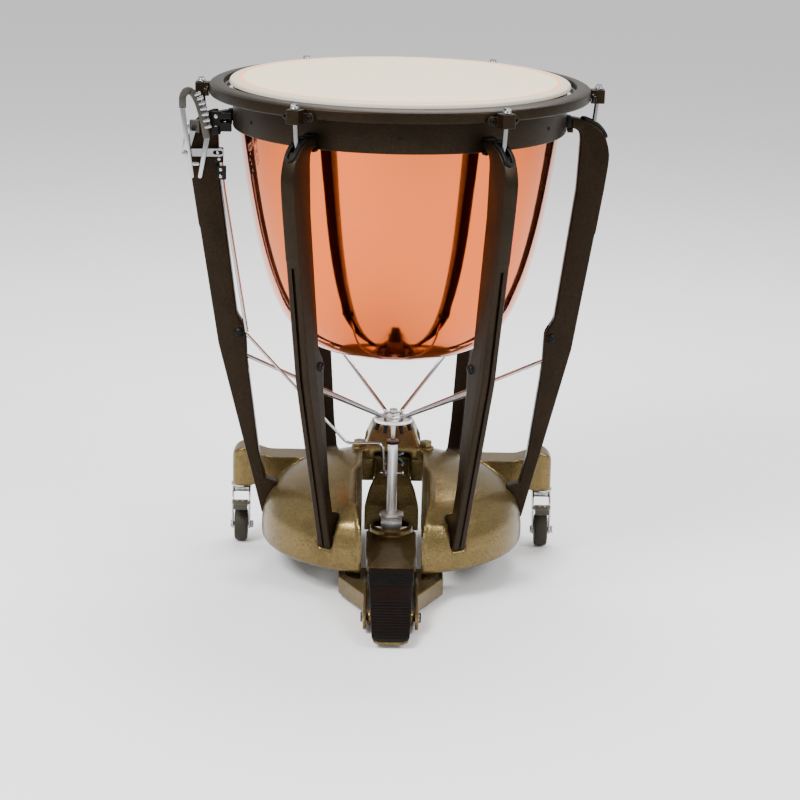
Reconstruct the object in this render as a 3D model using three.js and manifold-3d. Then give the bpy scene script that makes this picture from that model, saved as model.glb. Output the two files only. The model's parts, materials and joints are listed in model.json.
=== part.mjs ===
// A pedal timpani with a 23 inch copper bowl hung in six struts on a three-footed casting.
// Millimetres, +Z up, front (the player's side) towards -Y.
// Sizes below are measured from the bowl's axis and the floor; the whole drum is then shifted so that
// the origin is on the floor under the middle of its footprint.
import * as THREE from "three";
import { mergeVertices } from "three/addons/utils/BufferGeometryUtils.js";
import Module from "manifold-3d";

const wasm = await Module();
wasm.setup();

// ---------------------------------------------------------------- driving dimensions

const SEAT = 0.4; // gap between two pieces that sit on each other
const RUN = 0.5; // radial clearance of a pin that turns in its hole
const TURN = Math.PI / 180;

// Overall
const HEAD_R = 292; // bearing edge, where the head leaves the bowl
const HEAD_Z = 888; // playing surface
const BASE_R = 236; // outer radius of the domed base
const BASE_TOP = 215; // crown of the domed base

// Head, hoops and bowl
const HEAD_T = 1.2;
const COLLAR_R = 5.5; // how far the head's collar reaches outside the bearing edge
const COLLAR_DROP = 8;
const HOOP_LIP_R = HEAD_R + 15; // inner edge of the counterhoop's lip
const HOOP_R = HEAD_R + 40;
const HOOP_TOP = HEAD_Z - 5;
const HOOP_CROWN = 6; // how much lower the hoop's outer top edge is
const HOOP_LIP_T = 10;
const HOOP_BOTTOM = HEAD_Z - 28;
const HOOP_WALL = 15;
const FLESH_R0 = HEAD_R + 9;
const FLESH_H = 10;
const RING_R = HEAD_R - 0.7;
const RING_WALL = 4.8;
const RING_TOP = HEAD_Z - 16;
const RING_BOTTOM = HEAD_Z - 85;
const KETTLE_WALL = 2.4;
const KETTLE_FLAT = 5.3; // power of the bowl's outline across
const KETTLE_FALL = 1.14; // power of the bowl's outline downwards
const VENT_R = 12;
const KETTLE_GAP = 117; // from the spider's hub up to the bottom of the bowl

// Spider and pull rod
const SPIDER_Z = 272; // middle of the spider plate
const SPIDER_R = 35;
const SPIDER_T = 6;
const HOOK_R = 27; // circle of the holes that the spider rods hook into
const HOOK_D = 7;
const HOOK_HOLE_D = 12;
const STUB_D = 9;
const STUB_L = 16;
const HUB_AF = 22;
const HUB_H = 16;
const PULL_D = 8.5;
const SLEEVE_D = 18.4;
const SLEEVE_TOP = 226;
const BUSH_D = 24;
const BUSH_H = 7;
const NUT_AF = 38;
const NUT_TOP = 95;
const NUT_BOTTOM = 56;
const NUT_PIN_D = 8;
const PIN_PLAY = 3; // how far the nut's pin slides in the cup as the pedal tilts
const LINK_PIN_Z = 170; // cross pin through the sleeve that drives the gauge

// Struts, in the radial plane of each
const STRUT_COUNT = 6;
const STRUT_W = 27;
const STRUT_RECESS = 2.5; // the outer face steps in below this height
const STRUT_STEP_Z = HEAD_Z - 263;
const GROOVE_W = 6;
const GROOVE_DEEP = 4;
const CHANNEL_W = 14.6;
const FOOT_TOE = [BASE_R - 29.2, 152];
const FOOT_HEEL = [BASE_R - 8, 97];
const FOOT_BACK = [BASE_R + 2, 93];

// Bell crank
const PIVOT_R = HEAD_R - 14;
const PIVOT_Z = SPIDER_Z + 159;
const PIVOT_PIN_D = 8;
const PIVOT_HEAD_D = 17;
const PIVOT_HEAD_H = 4.2;
const CRANK_REST = -1 * TURN; // angle of the arms with the pedal in its middle
const CRANK_SWING = 12.6 * TURN; // how far they swing up from there
const CRANK_OUT = 22; // arm that pulls the tension rod
const CRANK_DOWN = 40.1; // arm that the spider rod pulls
const CRANK_CHEEK = 2.2;
const CRANK_SLOT = 9; // room between the crank's cheeks
const CRANK_NOSE = 6;
const CRANK_EYE_R = 7.5;
const EYE_PIN_D = 6;
const EYE_SLACK = 1.6; // the open pivot: extra hole radius at the spider rod's eye

// Tension rods and their lugs on the hoop
const LUG_R = HEAD_R + 53; // where the rod passes through its lug
const LUG_Z = HEAD_Z - 24;
const LUG_BLOCK = 24;
const LUG_EAR_REACH = 22.5; // from the rod's middle to a screw
const LUG_EAR_T = 5;
const LUG_SCREW_D = 9;
const ROD_D = 8;
const ROD_NUT_DROP = 2.4; // from the crank's nose down to the rod's nut
const ROD_COLLAR_D = 15;
const ROD_SQUARE = 9.5;
const ROD_NUT_D = 12.6;
const ROD_NUT_H = 10;

// Base casting
const BASE_RIM_Z = 54;
const BASE_WALL = 8;
const SLOT_BACK_Y = 14;
const SLOT_HALF = 54; // half the width of the slot behind the pull rod
const SLOT_WIDE = 66;
const SLOT_MOUTH = 49;
const HUMP_TOP = 244;
const ARM_REACH = 297; // half length of the rear crossbar
const ARM_Y = 135;
const ARM_W = 60;
const ARM_UNDER = 107;
const ARM_CROWN = 183;
const ARM_SAG = 165;
const STEM_D = 12;

// Pedal
const AXLE_Y = -355;
const AXLE_Z = 22;
const AXLE_D = 10;
const HUB_R = 14;
const RAIL_IN = 41;
const RAIL_T = 6;
const TOE_Y = -452;
const TREAD_TOP_Y = -240;
const TREAD_SLOPE = 15.6 * TURN;
const TREAD_T = 6;
const TREAD_HALF_FRONT = 30;
const TREAD_HALF_BACK = 38;
const TREAD_Z = 10; // middle of the tread plate at the toe
const PAD_T = 7;
const PAD_OVER = 1.5;
const ARM_HALF = 31;
const CUP_R = 44;
const CUP_RING_R = 39; // raised ring round the cup
const CUP_PIN_REACH = 36;
const SHOULDER_HALF = 46; // half width of the casting beside the cup
const CUP_BORE_R = 30.5;
const CUP_TOP = 73;
const CUP_FLOOR = 46;
const CUP_UNDER = 38;
const TOWER_Y = 52;
const TOWER_TOP = 178;
const PEDAL_LIFT = 21.4; // how far the tower rises from the middle of the pedal's travel
const TAIL_Y = 92;
const TAIL_Z = 92;

// Feet, springs and casters
const FOOT_H = 8;
const FOOT_D = 34;
const FOOT_X = 70;
const FOOT_Y = -184;
const WING_X = 92;
const WING_BACK_Y = -150;
const WING_TOP = 40;
const SPRING_R = 21;
const SPRING_WIRE = 5;
const SPRING_COILS = 6;
const CASTER_X = 280;
const WHEEL_R = 31;
const WHEEL_W = 25;
const TRAIL = 20;
const FORK_GAP = 1.5;
const FORK_T = 3;

// Tuning gauge at the left strut
const GAUGE_ROD_Y = -22;
const POINTER_Y = -34;
const SCALE_Y = -43;
const POINTER_PIVOT = [-(HEAD_R + 80), HEAD_Z - 132];
const TAIL_PIN = [-(HEAD_R + 23.6), HEAD_Z - 131];
const GAUGE_REACH = HEAD_R + 91; // leftmost edge of the scale

// The drum's axis, seen from the origin
const STRUT_REACH = HEAD_R + 77;
const AXIS_X = (GAUGE_REACH - STRUT_REACH) / 2;
const AXIS_Y = (-TOE_Y - HOOP_R) / 2;

// ---------------------------------------------------------------- finishes

function finish(color, metalness, roughness) {
  return { color, metalness, roughness };
}
const COPPER = finish(0xe8a27c, 1, 0.18);
const BRONZE = finish(0x4a3f33, 0.7, 0.5);
const GOLD = finish(0x7d6c4c, 0.7, 0.45);
const CHROME = finish(0xc8cacc, 1, 0.15);
const ALUMINIUM = finish(0xd5d6d8, 0.9, 0.3);
const BLACK = finish(0x17171a, 0.1, 0.6);
const SKIN = finish(0xddd6c8, 0, 0.6);
const TAUPE = finish(0x6c665e, 0.1, 0.6);
const TYRE = finish(0x4a463e, 0, 0.75);
const STEEL = finish(0x9a9790, 0.9, 0.35);

// ---------------------------------------------------------------- solids

// A closed three.js geometry as a solid with its faces pointing out.
function solid(geometry) {
  const loose = geometry.index ? geometry.toNonIndexed() : geometry;
  const bare = new THREE.BufferGeometry().setAttribute("position", loose.getAttribute("position"));
  const merged = mergeVertices(bare, 1e-4);
  const corners = [];
  for (let i = 0; i < merged.index.count; i += 3) {
    const [a, b, c] = merged.index.array.subarray(i, i + 3);
    if (a !== b && b !== c && c !== a) corners.push(a, b, c);
  }
  const vertProperties = merged.getAttribute("position").array;
  const build = (list) =>
    new wasm.Manifold(
      new wasm.Mesh({ numProp: 3, vertProperties, triVerts: new Uint32Array(list) }),
    );
  const made = build(corners);
  return made.volume() > 0 ? made : build(corners.reverse());
}

function join(...solids) {
  return solids.reduce((all, next) => all.add(next));
}

function cut(body, ...tools) {
  return tools.reduce((left, tool) => left.subtract(tool), body);
}

function extruded(points, depth) {
  const shape = new THREE.Shape(points.map(([x, y]) => new THREE.Vector2(x, y)));
  return new THREE.ExtrudeGeometry(shape, { depth, bevelEnabled: false, curveSegments: 8 });
}

// An outline in the XY plane, raised from z0 to z1.
function plan(points, z0, z1) {
  return solid(extruded(points, z1 - z0).translate(0, 0, z0));
}

// An outline in the XZ plane, from y0 to y1.
function front(points, y0, y1) {
  return solid(extruded(points, y1 - y0).rotateX(Math.PI / 2).translate(0, y1, 0));
}

// An outline in the YZ plane, from x0 to x1.
function side(points, x0, x1) {
  const turned = extruded(points, x1 - x0).rotateX(Math.PI / 2).rotateZ(Math.PI / 2);
  return solid(turned.translate(x0, 0, 0));
}

function box(x0, x1, y0, y1, z0, z1) {
  const block = new THREE.BoxGeometry(x1 - x0, y1 - y0, z1 - z0);
  return solid(block.translate((x0 + x1) / 2, (y0 + y1) / 2, (z0 + z1) / 2));
}

// An outline of radius and height, turned about the Z axis.
function turned(profile, segments) {
  const points = profile.map(([r, z]) => new THREE.Vector2(r, z));
  return solid(new THREE.LatheGeometry(points, segments).rotateX(Math.PI / 2));
}

// A round bar between two points; six sides make a hexagon.
function bar(from, to, radius, sides = 12) {
  const start = new THREE.Vector3(...from);
  const line = new THREE.Vector3(...to).sub(start);
  const geometry = new THREE.CylinderGeometry(radius, radius, line.length(), sides);
  const up = new THREE.Vector3(0, 1, 0);
  geometry.applyQuaternion(new THREE.Quaternion().setFromUnitVectors(up, line.clone().normalize()));
  const middle = start.addScaledVector(line, 0.5);
  return solid(geometry.translate(middle.x, middle.y, middle.z));
}

function hexBar(from, to, acrossFlats) {
  return bar(from, to, acrossFlats / Math.sqrt(3), 6);
}

function ball(at, radius, sides = 8) {
  return solid(new THREE.SphereGeometry(radius, sides, sides / 2).translate(...at));
}

// A bar that turns corners, with a ball at each one.
function bentBar(points, radius, sides = 8) {
  const legs = points.slice(1).map((point, i) => bar(points[i], point, radius, sides));
  const knees = points.slice(1, -1).map((point) => ball(point, radius * 1.02, sides));
  return join(...legs, ...knees);
}

// A flat arm with round ends, drawn in the XZ plane from y0 to y1.
function arm(from, to, radiusFrom, radiusTo, y0, y1) {
  const along = Math.atan2(to[1] - from[1], to[0] - from[0]);
  const steps = 4;
  const points = [];
  for (let i = 0; i <= steps; i += 1) {
    const angle = along + Math.PI / 2 + (Math.PI * i) / steps;
    points.push([from[0] + radiusFrom * Math.cos(angle), from[1] + radiusFrom * Math.sin(angle)]);
  }
  for (let i = 0; i <= steps; i += 1) {
    const angle = along - Math.PI / 2 + (Math.PI * i) / steps;
    points.push([to[0] + radiusTo * Math.cos(angle), to[1] + radiusTo * Math.sin(angle)]);
  }
  return front(points, y0, y1);
}

function ring(outer, inner, z0, z1, segments) {
  return turned([[inner, z0], [outer, z0], [outer, z1], [inner, z1], [inner, z0]], segments);
}

const between = (a, b, t) => a + (b - a) * t;

const drum = new THREE.Group();

// Adds a solid to a group as a named mesh.
function piece(group, name, shape, look) {
  const mesh = shape.getMesh();
  const geometry = new THREE.BufferGeometry()
    .setAttribute("position", new THREE.BufferAttribute(new Float32Array(mesh.vertProperties), 3))
    .setIndex(new THREE.BufferAttribute(new Uint32Array(mesh.triVerts), 1));
  const made = new THREE.Mesh(geometry, new THREE.MeshStandardMaterial(look));
  made.name = name;
  group.add(made);
}

// ---------------------------------------------------------------- head, hoops and bowl

const ROUND = 40; // sides of the drum's large circles

function addHead() {
  const low = HEAD_Z - HEAD_T;
  const edge = HEAD_R + COLLAR_R;
  const skin = turned(
    [
      [0, low],
      [HEAD_R, low],
      [edge - HEAD_T, HEAD_Z - COLLAR_DROP],
      [edge, HEAD_Z - COLLAR_DROP],
      [edge - 1.5, HEAD_Z - 2.5],
      [HEAD_R - 1, HEAD_Z],
      [0, HEAD_Z],
    ],
    ROUND,
  );
  piece(drum, "drumhead", skin, SKIN);
}

function addHoops() {
  const lipUnder = HOOP_TOP - HOOP_LIP_T;
  const wallIn = HOOP_R - HOOP_WALL;
  const counterhoop = turned(
    [
      [HOOP_LIP_R, lipUnder],
      [wallIn, lipUnder],
      [wallIn, HOOP_BOTTOM],
      [HOOP_R - 2, HOOP_BOTTOM],
      [HOOP_R, HOOP_BOTTOM + 2],
      [HOOP_R, HOOP_TOP - HOOP_CROWN],
      [HOOP_R - 4, HOOP_TOP - HOOP_CROWN + 3],
      [HOOP_LIP_R + 3, HOOP_TOP],
      [HOOP_LIP_R, HOOP_TOP - 2],
      [HOOP_LIP_R, lipUnder],
    ],
    ROUND,
  );
  piece(drum, "counterhoop", counterhoop, BRONZE);
  const fleshTop = lipUnder - SEAT;
  const flesh = ring(wallIn - SEAT - 0.6, FLESH_R0, fleshTop - FLESH_H, fleshTop, ROUND);
  piece(drum, "flesh_hoop", flesh, ALUMINIUM);
}

function addBowl() {
  const rimR = RING_R - RING_WALL - SEAT; // outer radius of the bowl inside the suspension ring
  const rimZ = RING_TOP + SEAT;
  const bottom = SPIDER_Z + SPIDER_T / 2 + HUB_H + KETTLE_GAP;
  const depth = rimZ - bottom;
  const steps = 10;
  const outside = [];
  const inside = [];
  for (let i = 0; i <= steps; i += 1) {
    const down = Math.sin((Math.PI / 2) * (i / steps)); // 0 at the rim, 1 at the bottom
    const round = (radius, deep) => [
      radius * Math.pow(Math.max(0, 1 - Math.pow(down, KETTLE_FALL)), 1 / KETTLE_FLAT),
      rimZ - deep * down,
    ];
    outside.unshift(round(rimR, depth));
    inside.push(round(rimR - KETTLE_WALL, depth - KETTLE_WALL));
  }
  outside[0] = [VENT_R, bottom];
  inside[steps] = [VENT_R, bottom + KETTLE_WALL];
  const headUnder = HEAD_Z - HEAD_T - SEAT;
  const flange = [
    [RING_R, rimZ],
    [RING_R + 0.5, headUnder],
    [RING_R - 3, headUnder],
  ];
  const bowl = turned([...outside, ...flange, ...inside, outside[0]], ROUND);
  piece(drum, "kettle", bowl, COPPER);
  const suspension = turned(
    [
      [RING_R - RING_WALL, RING_BOTTOM + 1.5],
      [RING_R - 2, RING_BOTTOM],
      [RING_R, RING_BOTTOM + 3],
      [RING_R, RING_TOP],
      [RING_R - RING_WALL, RING_TOP],
      [RING_R - RING_WALL, RING_BOTTOM + 1.5],
    ],
    ROUND,
  );
  piece(drum, "suspension_ring", suspension, BRONZE);
}

// ---------------------------------------------------------------- struts and what runs in them

// Where the crank's arms end at rest, as radius and height.
const CRANK_NOSE_AT = [
  PIVOT_R + CRANK_OUT * Math.cos(CRANK_REST),
  PIVOT_Z + CRANK_OUT * Math.sin(CRANK_REST),
];
const CRANK_EYE_AT = [
  PIVOT_R + CRANK_DOWN * Math.sin(CRANK_REST),
  PIVOT_Z - CRANK_DOWN * Math.cos(CRANK_REST),
];

// The tension rod's line: its radius at a height.
function rodRadius(z) {
  const t = (z - CRANK_NOSE_AT[1]) / (LUG_Z - CRANK_NOSE_AT[1]);
  return between(CRANK_NOSE_AT[0], LUG_R, t);
}

// The strut's outer edge below its shoulder: its radius at a height.
const SHOULDER = [HEAD_R + 70, HEAD_Z - 188];
const ELBOW = [PIVOT_R + 40, PIVOT_Z - 21];
function outerRadius(z) {
  if (z > ELBOW[1]) {
    return between(ELBOW[0], SHOULDER[0], (z - ELBOW[1]) / (SHOULDER[1] - ELBOW[1]));
  }
  return between(FOOT_BACK[0], ELBOW[0], (z - FOOT_BACK[1]) / (ELBOW[1] - FOOT_BACK[1]));
}

function strutOutline() {
  const stepR = outerRadius(STRUT_STEP_Z);
  const gooseneck = [
    [14, 61],
    [28, 64],
    [43, 69],
    [56, 77],
    [66, 88],
    [73, 105],
    [77, 126],
    [75.5, 146],
  ];
  const throat = [
    [20.5, 188],
    [23, 137],
    [24.4, 103],
    [23.6, 90],
    [19, 82],
    [9.5, 78.5],
  ];
  const atHead = ([out, down]) => [HEAD_R + out, HEAD_Z - down];
  return [
    [RING_R + SEAT + 0.2, HEAD_Z - 57],
    ...gooseneck.map(atHead),
    SHOULDER,
    [stepR, STRUT_STEP_Z],
    [stepR - STRUT_RECESS, STRUT_STEP_Z - 1.5],
    [ELBOW[0] - STRUT_RECESS, ELBOW[1]],
    [FOOT_BACK[0] - STRUT_RECESS, FOOT_BACK[1]],
    FOOT_HEEL,
    FOOT_TOE,
    [FOOT_TOE[0] + 23, FOOT_TOE[1] + 8],
    [FOOT_TOE[0] + 35, FOOT_TOE[1] + 59],
    [PIVOT_R - 14, PIVOT_Z - 48],
    [PIVOT_R - 12, PIVOT_Z + 8],
    [PIVOT_R + 4, PIVOT_Z + 33],
    ...throat.map(atHead),
    [RING_R + SEAT + 0.2, HEAD_Z - 76],
  ];
}

// The hollow that the tension rod and the bell crank run in.
function channelOutline() {
  const top = HEAD_Z - 40;
  const bend = HEAD_Z - 90;
  const knee = PIVOT_Z + 22;
  const nut = PIVOT_Z - 32;
  return [
    [rodRadius(top) - 16, top],
    [rodRadius(bend) - 12, bend],
    [rodRadius(knee) - 10, knee + 30],
    [rodRadius(knee) - 12, knee],
    [PIVOT_R - 40, knee - 6],
    [PIVOT_R - 40, PIVOT_Z - 70],
    [PIVOT_R - 4, PIVOT_Z - 70],
    [PIVOT_R + CRANK_DOWN * Math.sin(CRANK_REST + CRANK_SWING) + CRANK_EYE_R + 3, CRANK_EYE_AT[1]],
    [rodRadius(nut) + 9.5, nut],
    [rodRadius(PIVOT_Z) + 9, PIVOT_Z],
    [rodRadius(knee) + 9, knee + 30],
    [rodRadius(bend) + 14, bend],
    [rodRadius(top) + 11, top],
  ];
}

function grooveOutline() {
  const top = STRUT_STEP_Z - 8;
  const deep = STRUT_RECESS + GROOVE_DEEP;
  return [
    [outerRadius(top) - deep, top],
    [outerRadius(top) + 9, top],
    [outerRadius(ELBOW[1]) + 9, ELBOW[1]],
    [FOOT_BACK[0] + 9, FOOT_BACK[1] - 6],
    [FOOT_BACK[0] - deep, FOOT_BACK[1] - 6],
    [outerRadius(ELBOW[1]) - deep, ELBOW[1]],
  ];
}

function strutShape() {
  const half = STRUT_W / 2;
  const whole = front(strutOutline(), -half, half);
  const channel = front(channelOutline(), -CHANNEL_W / 2, CHANNEL_W / 2);
  const groove = front(grooveOutline(), -GROOVE_W / 2, GROOVE_W / 2);
  const pin = PIVOT_PIN_D / 2 + RUN;
  const bore = bar([PIVOT_R, -half - 1, PIVOT_Z], [PIVOT_R, half + 1, PIVOT_Z], pin, 12);
  return cut(whole, channel, groove, bore);
}

function crankShape() {
  const inner = CRANK_SLOT / 2;
  const outer = inner + CRANK_CHEEK;
  const hub = [PIVOT_R, PIVOT_Z];
  const cheeks = [
    [-outer, -inner],
    [inner, outer],
  ].flatMap(([y0, y1]) => [
    arm(hub, CRANK_NOSE_AT, 9, CRANK_NOSE, y0, y1),
    arm(hub, CRANK_EYE_AT, 9, CRANK_EYE_R, y0, y1),
  ]);
  const across = (at, radius, reach, sides) =>
    bar([at[0], -reach, at[1]], [at[0], reach, at[1]], radius, sides);
  const face = STRUT_W / 2 + SEAT;
  const heads = [-1, 1].map((way) =>
    bar(
      [hub[0], way * face, hub[1]],
      [hub[0], way * (face + PIVOT_HEAD_H), hub[1]],
      PIVOT_HEAD_D / 2,
      10,
    ),
  );
  return join(
    ...cheeks,
    across(hub, 7, outer, 8),
    across(hub, PIVOT_PIN_D / 2, face + 1, 8),
    across(CRANK_EYE_AT, EYE_PIN_D / 2, outer, 8),
    ...heads,
  );
}

function tensionRodShape() {
  const lean = (z) => [rodRadius(z), 0, z];
  const noseUnder = CRANK_NOSE_AT[1] - CRANK_NOSE - ROD_NUT_DROP;
  const slope = (LUG_R - CRANK_NOSE_AT[0]) / (LUG_Z - CRANK_NOSE_AT[1]);
  const headSeat = LUG_Z + LUG_BLOCK / 2 + (ROD_COLLAR_D / 2) * slope + SEAT;
  const shank = bar(lean(noseUnder - ROD_NUT_H), lean(headSeat + 2), ROD_D / 2, 8);
  const nut = bar(lean(noseUnder - ROD_NUT_H), lean(noseUnder), ROD_NUT_D / 2, 8);
  const collar = bar(lean(headSeat), lean(headSeat + 2), ROD_COLLAR_D / 2, 12);
  const half = ROD_SQUARE / 2;
  const square = bar(lean(headSeat + 1), lean(headSeat + 7), half * Math.SQRT2, 4);
  return join(shank, nut, collar, square);
}

// The block that carries a tension rod, with an ear each side screwed to the hoop.
function lugShape() {
  const half = LUG_BLOCK / 2;
  const back = HOOP_R + SEAT;
  const block = box(back, LUG_R + half, -half, half, LUG_Z - half, LUG_Z + half);
  const ears = [];
  for (const way of [-1, 1]) {
    const tip = way * LUG_EAR_REACH;
    const ear = bar([back, tip, LUG_Z - 1], [back + LUG_EAR_T, tip, LUG_Z - 1], 8, 12);
    const web = box(
      back,
      back + LUG_EAR_T,
      Math.min(0, tip),
      Math.max(0, tip),
      LUG_Z - 9,
      LUG_Z + 7,
    );
    const screwOut = back + LUG_EAR_T + 3.5;
    const screw = bar([back + 1, tip, LUG_Z - 1], [screwOut, tip, LUG_Z - 1], LUG_SCREW_D / 2, 6);
    ears.push(ear, web, screw);
  }
  const lean = (z) => [rodRadius(z), 0, z];
  const bore = bar(lean(LUG_Z - half - 5), lean(LUG_Z + half + 5), ROD_D / 2 + RUN, 10);
  return cut(join(block, ...ears), bore);
}

function spiderRodShape() {
  const over = SPIDER_Z + SPIDER_T / 2 + HOOK_D / 2 + 3;
  const slope = (CRANK_EYE_AT[1] - SPIDER_Z) / (CRANK_EYE_AT[0] - HOOK_R);
  const rise = [HOOK_R + (over - SPIDER_Z) / slope / 3, over];
  const eye = CRANK_EYE_AT;
  const tongue = CRANK_SLOT / 2 - 0.8;
  const shortOfEye = [between(eye[0], rise[0], 0.03), between(eye[1], rise[1], 0.03)];
  const wire = bentBar(
    [
      [HOOK_R, 0, SPIDER_Z - SPIDER_T / 2 - STUB_L],
      [HOOK_R, 0, over - 1],
      [shortOfEye[0], 0, shortOfEye[1]],
    ],
    HOOK_D / 2,
  );
  const stubTop = SPIDER_Z - SPIDER_T / 2 - 2;
  const stub = bar([HOOK_R, 0, stubTop - STUB_L], [HOOK_R, 0, stubTop], STUB_D / 2, 8);
  const eyeR = EYE_PIN_D / 2 + EYE_SLACK + 3;
  const plate = arm(shortOfEye, eye, 4.5, eyeR, -tongue, tongue);
  const pinR = EYE_PIN_D / 2 + EYE_SLACK;
  const hole = bar([eye[0], -9, eye[1]], [eye[0], 9, eye[1]], pinR, 10);
  return cut(join(wire, stub, plate), hole);
}

const SIDES = ["rear_left", "left", "front_left", "front_right", "right", "rear_right"];

function addStruts() {
  const strut = strutShape();
  const crank = crankShape();
  const rod = tensionRodShape();
  const lug = lugShape();
  const link = spiderRodShape();
  SIDES.forEach((where, i) => {
    const place = new THREE.Group();
    const fromFront = (-150 + (360 / STRUT_COUNT) * i) * TURN;
    place.rotation.z = fromFront - Math.PI / 2;
    piece(place, "strut_" + where, strut, BRONZE);
    piece(place, "bell_crank_" + where, crank, BLACK);
    piece(place, "tension_rod_" + where, rod, CHROME);
    piece(place, "hoop_lug_" + where, lug, BRONZE);
    piece(place, "spider_rod_" + where, link, CHROME);
    drum.add(place);
  });
}

// ---------------------------------------------------------------- spider and pull rod

function addPullRod() {
  const under = SPIDER_Z - SPIDER_T / 2;
  const top = SPIDER_Z + SPIDER_T / 2;
  const holes = SIDES.map((_, i) => {
    const angle = (-150 + (360 / STRUT_COUNT) * i) * TURN - Math.PI / 2;
    const at = [HOOK_R * Math.cos(angle), HOOK_R * Math.sin(angle)];
    return bar([...at, under - 1], [...at, top + 1], HOOK_HOLE_D / 2, 8);
  });
  const disc = ring(SPIDER_R, PULL_D / 2 + SEAT, under, top, 28);
  piece(drum, "spider_plate", cut(disc, ...holes), CHROME);

  const sleeveR = SLEEVE_D / 2;
  const pinReach = sleeveR + 12;
  const rod = join(
    bar([0, 0, NUT_TOP - 10], [0, 0, SLEEVE_TOP], sleeveR, 24),
    bar([0, 0, SLEEVE_TOP - 1], [0, 0, SLEEVE_TOP + BUSH_H], BUSH_D / 2, 24),
    bar([0, 0, SLEEVE_TOP], [0, 0, top + 2], PULL_D / 2, 16),
    hexBar([0, 0, top + SEAT], [0, 0, top + HUB_H], HUB_AF),
    bar([-pinReach, 0, LINK_PIN_Z], [pinReach, 0, LINK_PIN_Z], 2.5, 12),
    bar([pinReach - 3, 0, LINK_PIN_Z], [pinReach, 0, LINK_PIN_Z], 5.5, 14),
  );
  piece(drum, "pull_rod", rod, ALUMINIUM);

  const nutR = NUT_AF / 2;
  const belly = NUT_BOTTOM + 14;
  const nut = join(
    hexBar([0, 0, belly], [0, 0, NUT_TOP - 5], NUT_AF),
    bar([0, 0, NUT_TOP - 5], [0, 0, NUT_TOP], nutR + 3, 28),
    turned(
      [
        [0, NUT_BOTTOM],
        [nutR * 0.45, NUT_BOTTOM + 1],
        [nutR * 0.8, NUT_BOTTOM + 5],
        [nutR, belly],
        [0, belly + 1],
      ],
      24,
    ),
    bar([-CUP_PIN_REACH, 0, belly - 6], [CUP_PIN_REACH, 0, belly - 6], NUT_PIN_D / 2, 14),
  );
  const socket = bar([0, 0, NUT_TOP - 10 - SEAT], [0, 0, NUT_TOP + 1], sleeveR + SEAT, 24);
  piece(drum, "pull_nut", cut(nut, socket), ALUMINIUM);
}

// ---------------------------------------------------------------- base

// The dome's side, from its rim up to the struts' toes: bulged outside, straight inside.
function skirt(wall) {
  if (wall > 0) {
    return [
      [BASE_R - wall - 4, BASE_RIM_Z + 24 - wall / 2],
      [FOOT_HEEL[0] - SEAT - wall, FOOT_HEEL[1] - wall / 3],
    ];
  }
  return [
    [BASE_R, BASE_RIM_Z + 34],
    [BASE_R - 4, BASE_RIM_Z + 59],
    [BASE_R - 14, BASE_RIM_Z + 83],
  ];
}

// What the skirt loses under one strut, so that the foot sits on a flat.
function footSeat() {
  const toe = [FOOT_TOE[0] - SEAT, FOOT_TOE[1]];
  const heel = [FOOT_HEEL[0] - SEAT, FOOT_HEEL[1]];
  const under = FOOT_BACK[1] - 5;
  const half = STRUT_W / 2 + SEAT;
  return front(
    [heel, [heel[0], under], [BASE_R + 30, under], [BASE_R + 30, toe[1] + 9], [toe[0] + 8, toe[1] + 9], toe],
    -half,
    half,
  );
}

// The dome as a solid of revolution, shrunk by a wall thickness for the hollow.
function dome(wall, under) {
  const top = BASE_TOP - wall;
  const out = BASE_R - wall;
  return turned(
    [
      [0, under],
      [out - 4, under],
      [out, under + 8],
      ...skirt(wall),
      [FOOT_TOE[0] - SEAT - wall, FOOT_TOE[1] - wall / 3],
      [out - 46, top - 50],
      [out - 76, top - 37],
      [out - 116, top - 23],
      [out - 160, top - 9],
      [0, top],
    ],
    ROUND,
  );
}

function crossbar() {
  const end = ARM_REACH;
  const half = ARM_W / 2;
  const outline = [
    [-end, ARM_UNDER],
    [-end + 34, ARM_UNDER],
    [-end + 70, ARM_UNDER + 16],
    [end - 70, ARM_UNDER + 16],
    [end - 34, ARM_UNDER],
    [end, ARM_UNDER],
    [end, ARM_CROWN - 14],
    [end - 5, ARM_CROWN - 4],
    [end - 16, ARM_CROWN],
    [end - 40, ARM_CROWN - 9],
    [end - 70, ARM_SAG],
    [-end + 70, ARM_SAG],
    [-end + 40, ARM_CROWN - 9],
    [-end + 16, ARM_CROWN],
    [-end + 5, ARM_CROWN - 4],
    [-end, ARM_CROWN - 14],
  ];
  const beam = front(outline, ARM_Y - half, ARM_Y + half);
  const corner = half * 0.45;
  const rounded = plan(
    [
      [-end, ARM_Y - half + corner],
      [-end + corner, ARM_Y - half],
      [end - corner, ARM_Y - half],
      [end, ARM_Y - half + corner],
      [end, ARM_Y + half - corner],
      [end - corner, ARM_Y + half],
      [-end + corner, ARM_Y + half],
      [-end, ARM_Y + half - corner],
    ],
    ARM_UNDER - 1,
    ARM_CROWN + 1,
  );
  return beam.intersect(rounded);
}

function slotOutline(grow) {
  const narrow = SLOT_HALF + grow;
  const wide = SLOT_WIDE + grow;
  const mouth = SLOT_MOUTH + grow;
  const right = [
    [narrow, SLOT_BACK_Y + grow],
    [narrow, -60],
    [wide, -80],
    [wide, -170],
    [mouth, -240],
    [mouth, -BASE_R - 40],
  ];
  const left = right.map(([x, y]) => [-x, y]).reverse();
  return [...right, ...left];
}

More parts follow.
